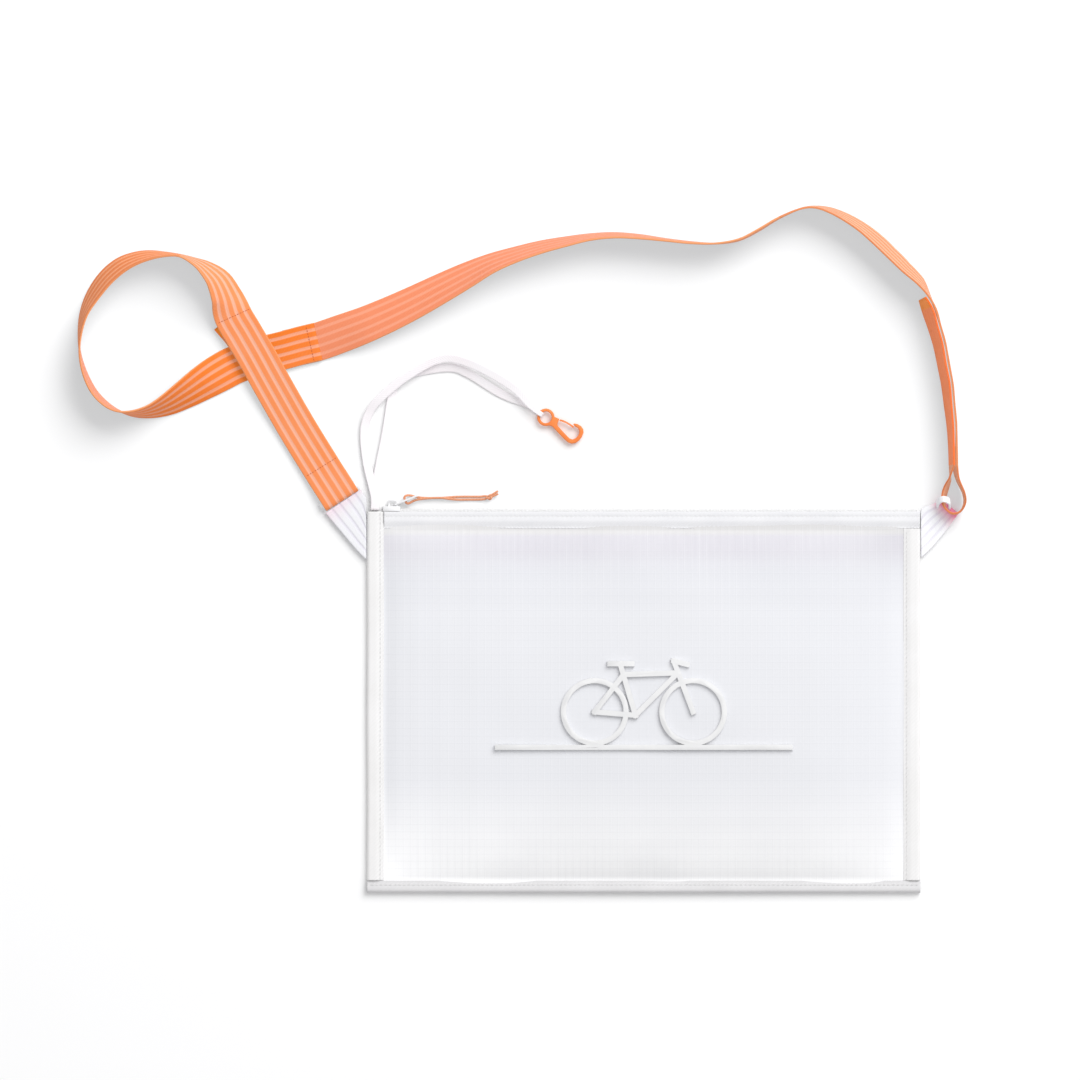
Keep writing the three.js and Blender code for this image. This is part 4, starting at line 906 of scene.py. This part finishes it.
def edge_thin(inside):
    """Thickness of a tape at a distance inside its free edge."""
    return EDGE_CLOTH + (BINDING_CLOTH - EDGE_CLOTH) * np.clip(inside / EDGE_SLOPE, 0, 1)


def folded_section(reach, stitch):
    """Section of a folded tape: depth from its fold, height, and how deep each point puckers."""
    half = BINDING_CLOTH / 2
    low, high = half, EDGE_STACK - half
    depths = np.linspace(reach, FOLD_START, 16)
    centre = [(d, high) for d in depths]
    radius = (high - low) / 2
    for turn in np.linspace(90, 270, 13)[1:-1]:
        angle = math.radians(turn)
        centre.append((FOLD_START + FOLD_DEPTH * math.cos(angle), low + radius + radius * math.sin(angle)))
    centre += [(d, low) for d in depths[::-1]]
    centre = np.array(centre)
    travel = unit(np.gradient(centre, axis=0))
    normal = np.stack([travel[:, 1], -travel[:, 0]], axis=1)
    outer, inner = centre + normal * half, centre - normal * half
    leg = len(depths)
    outer[:leg, 1] -= edge_drop(reach - depths)
    inner[:leg, 1] = outer[:leg, 1] - edge_thin(reach - depths)
    ring = np.concatenate([outer, inner[::-1]])
    sink = np.exp(-(((reach - ring[:, 0]) - stitch) / 0.0011) ** 2) * np.sign(ring[:, 1] - EDGE_STACK / 2)
    return ring, sink


def puckers(along):
    return 0.00005 + 0.00005 * np.cos(2 * np.pi * along / STITCH_PITCH) + 0.00003 * np.sin(along * 210)


def binding(name, side, start, end):
    ring, sink = folded_section(BINDING_WIDTH, STITCH_INSET)
    stations = np.arange(start, end, 0.00075)
    stations = np.append(stations, end)
    rings = []
    for y in stations:
        x = side * (HALF_WIDTH - ring[:, 0]) + 0.00012 * math.sin(y * 60 + side)
        z = ring[:, 1] - sink * puckers(y)
        rings.append(np.stack([x, np.full(len(x), y), z], axis=1))
    rings = np.array(rings)
    return loft(name, rings if side < 0 else rings[:, ::-1])


# Gap between tapes that butt
BUTTED = 0.00005
BINDING_FOOT = -HALF_HEIGHT + HEM_DEPTH + BUTTED
BAND_LEFT = -HALF_WIDTH + BINDING_WIDTH + BUTTED
BAND_FOOT = HALF_HEIGHT - BAND_WIDTH
left_binding = binding("left_edge_tape", -1, BINDING_FOOT, HALF_HEIGHT)
right_binding = binding("right_edge_tape", 1, BINDING_FOOT, BAND_FOOT - BUTTED)
dress(left_binding, binding_tape, "binding_tape", "left_binding")
dress(right_binding, binding_tape, "binding_tape", "right_binding")

hem_ring, hem_sink = folded_section(HEM_DEPTH, HEM_STITCH_INSET)
hem_rings = []
for x in np.linspace(-HALF_WIDTH, HALF_WIDTH, 480):
    lifted = 0.0007 * math.cos(math.pi * x / BAG_WIDTH) ** 2
    y = -HALF_HEIGHT + hem_ring[:, 0]
    z = hem_ring[:, 1] - hem_sink * puckers(x) + lifted * np.clip(1 - hem_ring[:, 0] / HEM_DEPTH, 0, 1)
    hem_rings.append(np.stack([np.full(len(y), x), y, z], axis=1))
hem = loft("hem_fold", np.array(hem_rings))
dress(hem, hem_cloth, "ripstop", "bottom_hem")


def zip_band(name, low, high, top_face):
    """Zip tape in section, with a stitch line along it and a soft fold beside the coil."""
    count = 24
    ys = np.linspace(BAND_FOOT, HALF_HEIGHT, count)
    thick = BINDING_CLOTH
    inside = ys - BAND_FOOT
    upper = high - edge_drop(inside) if top_face else np.full(count, low + thick)
    lower = upper - edge_thin(inside) if top_face else np.full(count, low)
    fold = np.clip((ys - (HALF_HEIGHT - 0.0028)) / 0.0006, 0, 1)
    raised = BAND_RIDGE * (fold - 1) * top_face
    rings = []
    for x in np.arange(BAND_LEFT, HALF_WIDTH + 0.0004, 0.00075):
        x = min(x, HALF_WIDTH)
        sunk = np.exp(-((ys - BAND_STITCH) / 0.0009) ** 2) * puckers(x) * 1.3
        sunk += np.exp(-((ys - (BAND_FOOT + 0.0012)) / 0.0008) ** 2) * puckers(x + 0.001)
        over = np.stack([np.full(count, x), ys, upper - sunk * top_face + raised], axis=1)
        beneath = np.stack([np.full(count, x), ys, lower + sunk * (not top_face)], axis=1)
        rings.append(np.concatenate([beneath, over[::-1]]))
    return loft(name, np.array(rings))


band_front = zip_band("zip_band_front", TOP_EDGE, EDGE_STACK, True)
band_back = zip_band("zip_band_back", 0.0, TAPE, False)
dress(band_front, zip_tape, "zip_tape", "zip_tape_front")
dress(band_back, zip_tape, "zip_tape", "zip_tape_back")

# Zip coil: one rounded nylon loop for each tooth
coil_low, coil_high = (np.array(corner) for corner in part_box("zip_coil"))
TOOTH_PITCH = 0.00088
TOOTH_WIRE = 0.00047
tooth_turn = np.linspace(-0.5 * np.pi, 0.5 * np.pi, 7)
tooth_radius = (coil_high[2] - coil_low[2]) / 2 - TOOTH_WIRE
tooth_root, tooth_tip = coil_low[1] + 0.0004, coil_high[1] - 0.00045
tooth_path = np.array([
    (0.0, tooth_root, -tooth_radius),
    *(
        (0.0002 * math.sin(t), tooth_tip - tooth_radius * (1 - math.cos(t)), tooth_radius * math.sin(t))
        for t in tooth_turn
    ),
    (0.0, tooth_root, tooth_radius),
])
tooth_ahead = unit(np.gradient(tooth_path, axis=0))
tooth_points = []
for spot, ahead in zip(tooth_path, tooth_ahead):
    first = np.array([1.0, 0, 0])
    second = np.cross(ahead, first)
    for turn in np.linspace(0, 2 * np.pi, 6, endpoint=False):
        tooth_points.append(spot + TOOTH_WIRE * (first * math.cos(turn) + second * math.sin(turn)))
tooth_faces = ring_faces(len(tooth_path), 6)
tooth_x = np.arange(coil_low[0] + 0.0005, coil_high[0] - 0.0004, TOOTH_PITCH)
tooth_places = np.stack(
    [tooth_x, np.zeros(len(tooth_x)), np.full(len(tooth_x), (coil_low[2] + coil_high[2]) / 2)], axis=1,
)
coil = copies(
    "zip_teeth", tooth_points, tooth_faces, tooth_places, np.repeat(np.eye(3)[None], len(tooth_x), axis=0),
)
dress(coil, coil_nylon, "zip_coil", "zip_coil")


# Sewn lines: height of the face, direction it looks in, name of the side
for level, face, tag in ((EDGE_STACK - 0.00008, 1, "top"), (0.00008, -1, "under")):
    left = -HALF_WIDTH + BINDING_WIDTH - STITCH_INSET
    hem_line = -HALF_HEIGHT + HEM_DEPTH - HEM_STITCH_INSET
    band_level = level - BAND_RIDGE * face
    for seam, start, end, slot_name in (
        ("left", (left, BINDING_FOOT, level), (left, HALF_HEIGHT - 0.001, level), "binding_tape"),
        ("right", (-left, BINDING_FOOT, level), (-left, BAND_FOOT - 0.001, level), "binding_tape"),
        ("hem", (-HALF_WIDTH + 0.002, hem_line, level), (HALF_WIDTH - 0.002, hem_line, level), "ripstop"),
        ("band", (BAND_LEFT + 0.001, BAND_STITCH, band_level), (HALF_WIDTH - 0.001, BAND_STITCH, band_level),
         "zip_tape"),
    ):
        line = np.linspace(start, end, 80)
        row = stitch_row(
            f"stitches_{seam}_{tag}", line, np.repeat([[0.0, 0.0, face]], len(line), axis=0),
            STITCH_PITCH, STITCH_LENGTH, STITCH_THICK,
        )
        dress(row, thread, slot_name)

# Strap bands
STEP = 0.0025
webbing = webbing_outline(0.16, 0.05)
SIDES = len(webbing)
ALL_COLUMNS = (0, SIDES)
PLAIN_COLUMNS = (0, 46)
STRIPED_COLUMNS = (46, SIDES - 1)


def strap_frames(rows, side, step=STEP):
    return route_frames(rows, WEBBING_THICK, step, side, WEBBING_WIDTH, LAYER_STEP)


def station(frames, distance):
    """The station at a distance along the frames."""
    return int(np.argmin(np.abs(lengths(frames.place) - distance)))


over = strap_frames(LEFT_ROUTE, 1)
under = strap_frames(LEFT_RETURN, 1).turned_back()
fold_out = unit(np.cross(UP, over.across[0]))
left_frames = joined(under, fold_frames(under.part(slice(-1, None)), over, fold_out, 10), over)
left_band = ribbon("strap_left", left_frames, webbing, WEBBING_CLOTH)
left_band.data.materials.append(strap_webbing["plain"])
set_face_material(left_band, STRIPED_COLUMNS, "striped")
lower_run_start = len(left_frames.place) - len(over.place) + int(np.argmax(over.row >= 23))
loop_top = len(left_frames.place) - len(over.place) + int(np.argmax(over.row >= 12))
# Painted shade: the darker copy goes on the top of the loop.
set_face_material(left_band, STRIPED_COLUMNS, "looped", (loop_top, lower_run_start))
# Painted light: the lower run gets the more saturated copy.
set_face_material(left_band, STRIPED_COLUMNS, "lower_run_lit", (lower_run_start, TO_THE_END))
# Painted light and shade: the free end gets the deep orange copy.
set_face_material(left_band, ALL_COLUMNS, "flap", (0, station(over, 0.008)))
dress(left_band, None, "striped_webbing", "strap_left_band").visible_diffuse = False

main = strap_frames(RIGHT_ROUTE, -1)
loop = strap_frames(LOOP_ROUTE, -1, STEP / 2).part(slice(1, None))
doubled = main.part(main.row >= FLAP_ROW).turned_back()
doubled.place = doubled.place - doubled.face * LAYER_STEP
# Roll of the outer layer where it leans away from the doubled end below: row of the route, degrees
OUTER_LEAN = [
    (28, 0), (29, 4), (30, 11), (31, 13), (32, 15), (34, 13.5), (36, 12), (38, 9.5), (39, 6.5), (40, 3),
    (41, 0),
]
lean_rows, lean_turns = (np.array(column, float) for column in zip(*OUTER_LEAN))
lean = np.radians(np.interp(main.row, lean_rows, lean_turns, left=0, right=0))[:, None]
upper_edge = np.sign(main.across[:, 2:])
top = main.place + main.across * upper_edge * main.width[:, None] / 2
leaning = main.across * np.cos(lean) + main.face * np.sin(lean)
main.face = main.face * np.cos(lean) - main.across * np.sin(lean)
main.across = leaning
main.place = top - main.across * upper_edge * main.width[:, None] / 2
right_frames = joined(main, loop, doubled)
right_band = ribbon("strap_right", right_frames, webbing, WEBBING_CLOTH)
right_band.data.materials.append(strap_webbing["plain"])
set_face_material(right_band, STRIPED_COLUMNS, "striped")
crest_start = int(np.argmax(main.row >= 21))
loop_start = len(main.place)
loop_end = loop_start + len(loop.place)
flap_start = loop_end + len(doubled.place) - station(main, 0.010)
# Painted light: the paler copy goes on the crest, the upright run and the end loop.
set_face_material(right_band, PLAIN_COLUMNS, "pale_lit", (crest_start, loop_start))
set_face_material(right_band, ALL_COLUMNS, "pale_lit", (loop_start, loop_end))
# Painted light: the doubled end gets the copy brightened against its shade.
set_face_material(right_band, ALL_COLUMNS, "shade_brightened", (loop_end, flap_start))
# Painted light and shade: the free end gets the deep orange copy.
set_face_material(right_band, ALL_COLUMNS, "flap", (flap_start, TO_THE_END))
dress(right_band, None, "striped_webbing", "strap_right_band").visible_diffuse = False


SEAM_PITCH = 0.0019
SEAM_INSET = 0.0007
SEAM_THICK = 0.00045


def seam_across(name, frames, index, face):
    """Stitches across a strap at one of its stations, on its face (1) or its back (-1)."""
    up = frames.face[index] * face
    reach = frames.width[index] / 2 - SEAM_INSET
    line = np.linspace(-reach, reach, 12)[:, None] * frames.across[index]
    line = line + frames.place[index] + up * WEBBING_CLOTH * 0.47
    row = stitch_row(name, line, np.repeat(up[None], 12, axis=0), SEAM_PITCH, SEAM_PITCH * 0.72, SEAM_THICK)
    dress(row, orange_thread, "striped_webbing")


seam_across("seam_left_fold", over, station(over, 0.024), 1)
seam_across("seam_left_fold_under", under, len(under.place) - 1 - station(under, 0.024), 1)
seam_across("seam_left_top", over, station(over, 0.136), 1)
seam_across("seam_left_end", over, len(over.place) - 3, 1)
seam_across("seam_joint", main, 2, -1)
seam_across("seam_right_flap", doubled, len(doubled.place) - 3, 1)


# White tabs
def tab_frames(rows, side, count=26):
    rows = np.asarray(rows, float)
    fine = catmull(rows, np.linspace(0, 1, count))[0]
    turn = np.radians(fine[:, 3])
    travel = np.stack([side * np.cos(turn), np.sin(turn), np.zeros(count)], axis=1)
    place = np.stack([
        side * (HALF_WIDTH + GAP + fine[:, 0] * BAG_WIDTH),
        rise_y(fine[:, 1]),
        np.full(count, TAB_LIFT + TAB_THICK / 2),
    ], axis=1)
    return Frames(place, np.cross(UP, travel), np.repeat(UP[None], count, axis=0), fine[:, 2] * WEBBING_WIDTH)


pleats = webbing_outline(0.17, 0.1)
left_tab = ribbon("tab_left", tab_frames(LEFT_TAB, -1), pleats, TAB_THICK * 0.9)
right_tab = ribbon("tab_right", tab_frames(RIGHT_TAB, 1), pleats, TAB_THICK * 0.9)
dress(left_tab, white_webbing, "white_webbing", "left_strap_tab")
dress(right_tab, show_through_and_painted_bounce_webbing, "white_webbing", "right_strap_tab")


def stub(name, line, across, width, thick):
    """Short straight piece of narrow tape along a line of points."""
    count = len(line)
    acrosses, ups = (np.repeat(direction[None], count, axis=0) for direction in (across, UP))
    frames = Frames(line, acrosses, ups, np.full(count, width))
    dress(ribbon(name, frames, flat_outline(), thick), narrow_tape, "white_webbing")


bar_middle = over.place[0].copy()
bar_middle[2] = (bar_middle[2] + WEBBING_THICK / 2) / 2
bar_across = over.across[0]
bar_reach = WEBBING_WIDTH / 2 + GAP + TAB_EAR
bar_line = np.linspace(-bar_reach, bar_reach, 14)[:, None] * bar_across
bar_line = bar_line + bar_middle - fold_out * TAB_BAR_SETBACK
stub("tab_left_bar", bar_line, fold_out, TAB_BAR_WIDTH, TAB_THICK * 0.75)
for tag, side in (("a", 1), ("b", -1)):
    ear_middle = bar_middle + bar_across * side * (bar_reach - TAB_EAR * 0.8)
    ear_line = ear_middle + np.linspace(-TAB_EAR_REACH, TAB_EAR_REACH, 6)[:, None] * fold_out
    stub(f"tab_left_ear_{tag}", ear_line, -bar_across, TAB_EAR * 0.6, TAB_THICK * 0.6)

hoop_rows = np.array([
    (HALF_WIDTH + out * BAG_WIDTH, rise_y(up), height * WEBBING_WIDTH) for out, up, height in HOOP_ROUTE
])
hoop_place, hoop_travel = catmull(hoop_rows, np.linspace(0, 1, 40))
hoop_travel = unit(hoop_travel)
hoop_along = unit(np.array([-0.1, 1, 0]))
hoop_face = unit(np.cross(hoop_travel, hoop_along))
hoop_across = unit(np.cross(hoop_face, hoop_travel))
hoop_frames = Frames(hoop_place, hoop_across, hoop_face, np.full(40, HOOP_WIDTH))
dress(ribbon("tab_right_hoop", hoop_frames, flat_outline(), HOOP_THICK), narrow_tape, "white_webbing")

# Lanyard
hook_axis = np.array([math.cos(HOOK_HEADING), math.sin(HOOK_HEADING), 0])
eye_bar = np.array([bag_x(HOOK_AT[0]), rise_y(HOOK_AT[1]), EYE_HEIGHT]) - hook_axis * EYE_MIDDLE


# The strands lie flatter than their solid: share of its roll
LANYARD_ROLL = 0.45


def lanyard_strand(rows, height):
    rows = np.array(rows, float)
    rows[:, 2] *= LANYARD_ROLL
    frames = route_frames(rows, LANYARD_THICK, 0.002, 1, LANYARD_WIDTH, LANYARD_WIDTH)
    left = np.cross(UP, hook_axis)
    last = []
    for backed in (LANYARD_EYE_LEAD, 0.0):
        place = eye_bar - hook_axis * backed
        place[2] = EYE_HEIGHT + height
        last.append(place)
    finish = Frames(np.array(last), np.stack([left, left]), np.stack([UP, UP]), np.full(2, LANYARD_EYE_WIDTH))
    return joined(frames, finish)


upper = lanyard_strand(LANYARD_UPPER, TAPE_TURN)
lower = lanyard_strand(LANYARD_LOWER, -TAPE_TURN).turned_back()
eye_fold = fold_frames(upper.part(slice(-1, None)), lower, hook_axis, 12)
lanyard = ribbon("lanyard", joined(upper, eye_fold, lower), flat_outline(), LANYARD_CLOTH)
dress(lanyard, lanyard_tape, "narrow_tape", "lanyard_tape")


# Hard pieces keep their own solids: smooth shading, soft edges and a material
for name, material, bevel in (
    ("snap_hook", hook_plastic, 0.0003),
    ("snap_hook_gate", hook_plastic, 0.0002),
    ("zip_slider", slider_enamel, 0.0002),
    ("zip_pull_tab", slider_enamel, 0.0002),
    ("front_emblem", badge_rubber, 0.0004),
):
    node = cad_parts[name]
    for slot_entry in node.material_slots:
        slot_entry.material = material
    if not node.material_slots:
        node.data.materials.append(material)
    node.data.polygons.foreach_set("use_smooth", np.ones(len(node.data.polygons), bool))
    weld = node.modifiers.new("weld", "WELD")
    weld.merge_threshold = 0.000005
    soft = node.modifiers.new("bevel", "BEVEL")
    soft.width = bevel
    soft.segments = 2
    soft.limit_method = "ANGLE"
    soft.angle_limit = math.radians(30)
    soft.harden_normals = True

# Surface it lies on
floor_shader = Shader("floor", 0.9, 0.1)
floor_stops = [(0.3, (0.898, 0.898, 0.898, 1)), (0.8, (0.906, 0.906, 0.906, 1))]
floor_material = floor_shader.finish(floor_shader.ramp(floor_shader.noise(3), floor_stops))
floor_spots = np.linspace(-4, 4, 9)
floor = mesh_object(
    "floor",
    [(x, y, 0) for y in floor_spots for x in floor_spots],
    [(r * 9 + c, r * 9 + c + 1, (r + 1) * 9 + c + 1, (r + 1) * 9 + c) for r in range(8) for c in range(8)],
)
floor.data.materials.append(floor_material)


# Soft light from the upper right and from above: name, place, size, power
LIGHTS = [("key", (1.6, 2.6, 2.9), 3.0, 148), ("overhead", (*FRAME_MIDDLE, 3.6), 3.0, 15)]
for name, place, size, power in LIGHTS:
    light = bpy.data.lights.new(name, "AREA")
    light.shape = "SQUARE"
    light.size = size
    light.energy = power
    made = bpy.data.objects.new(name, light)
    made.location = place
    towards = np.array((*FRAME_MIDDLE, 0), float) - np.array(place, float)
    made.rotation_euler = Vector(towards).to_track_quat("-Z", "Y").to_euler()
    made.visible_camera = False
    bpy.context.scene.collection.objects.link(made)

world = bpy.data.worlds.new("studio")
bpy.context.scene.world = world
world.use_nodes = True
background = world.node_tree.nodes["Background"]
background.inputs["Color"].default_value = (0.99, 0.99, 1.0, 1)
background.inputs["Strength"].default_value = 0.59
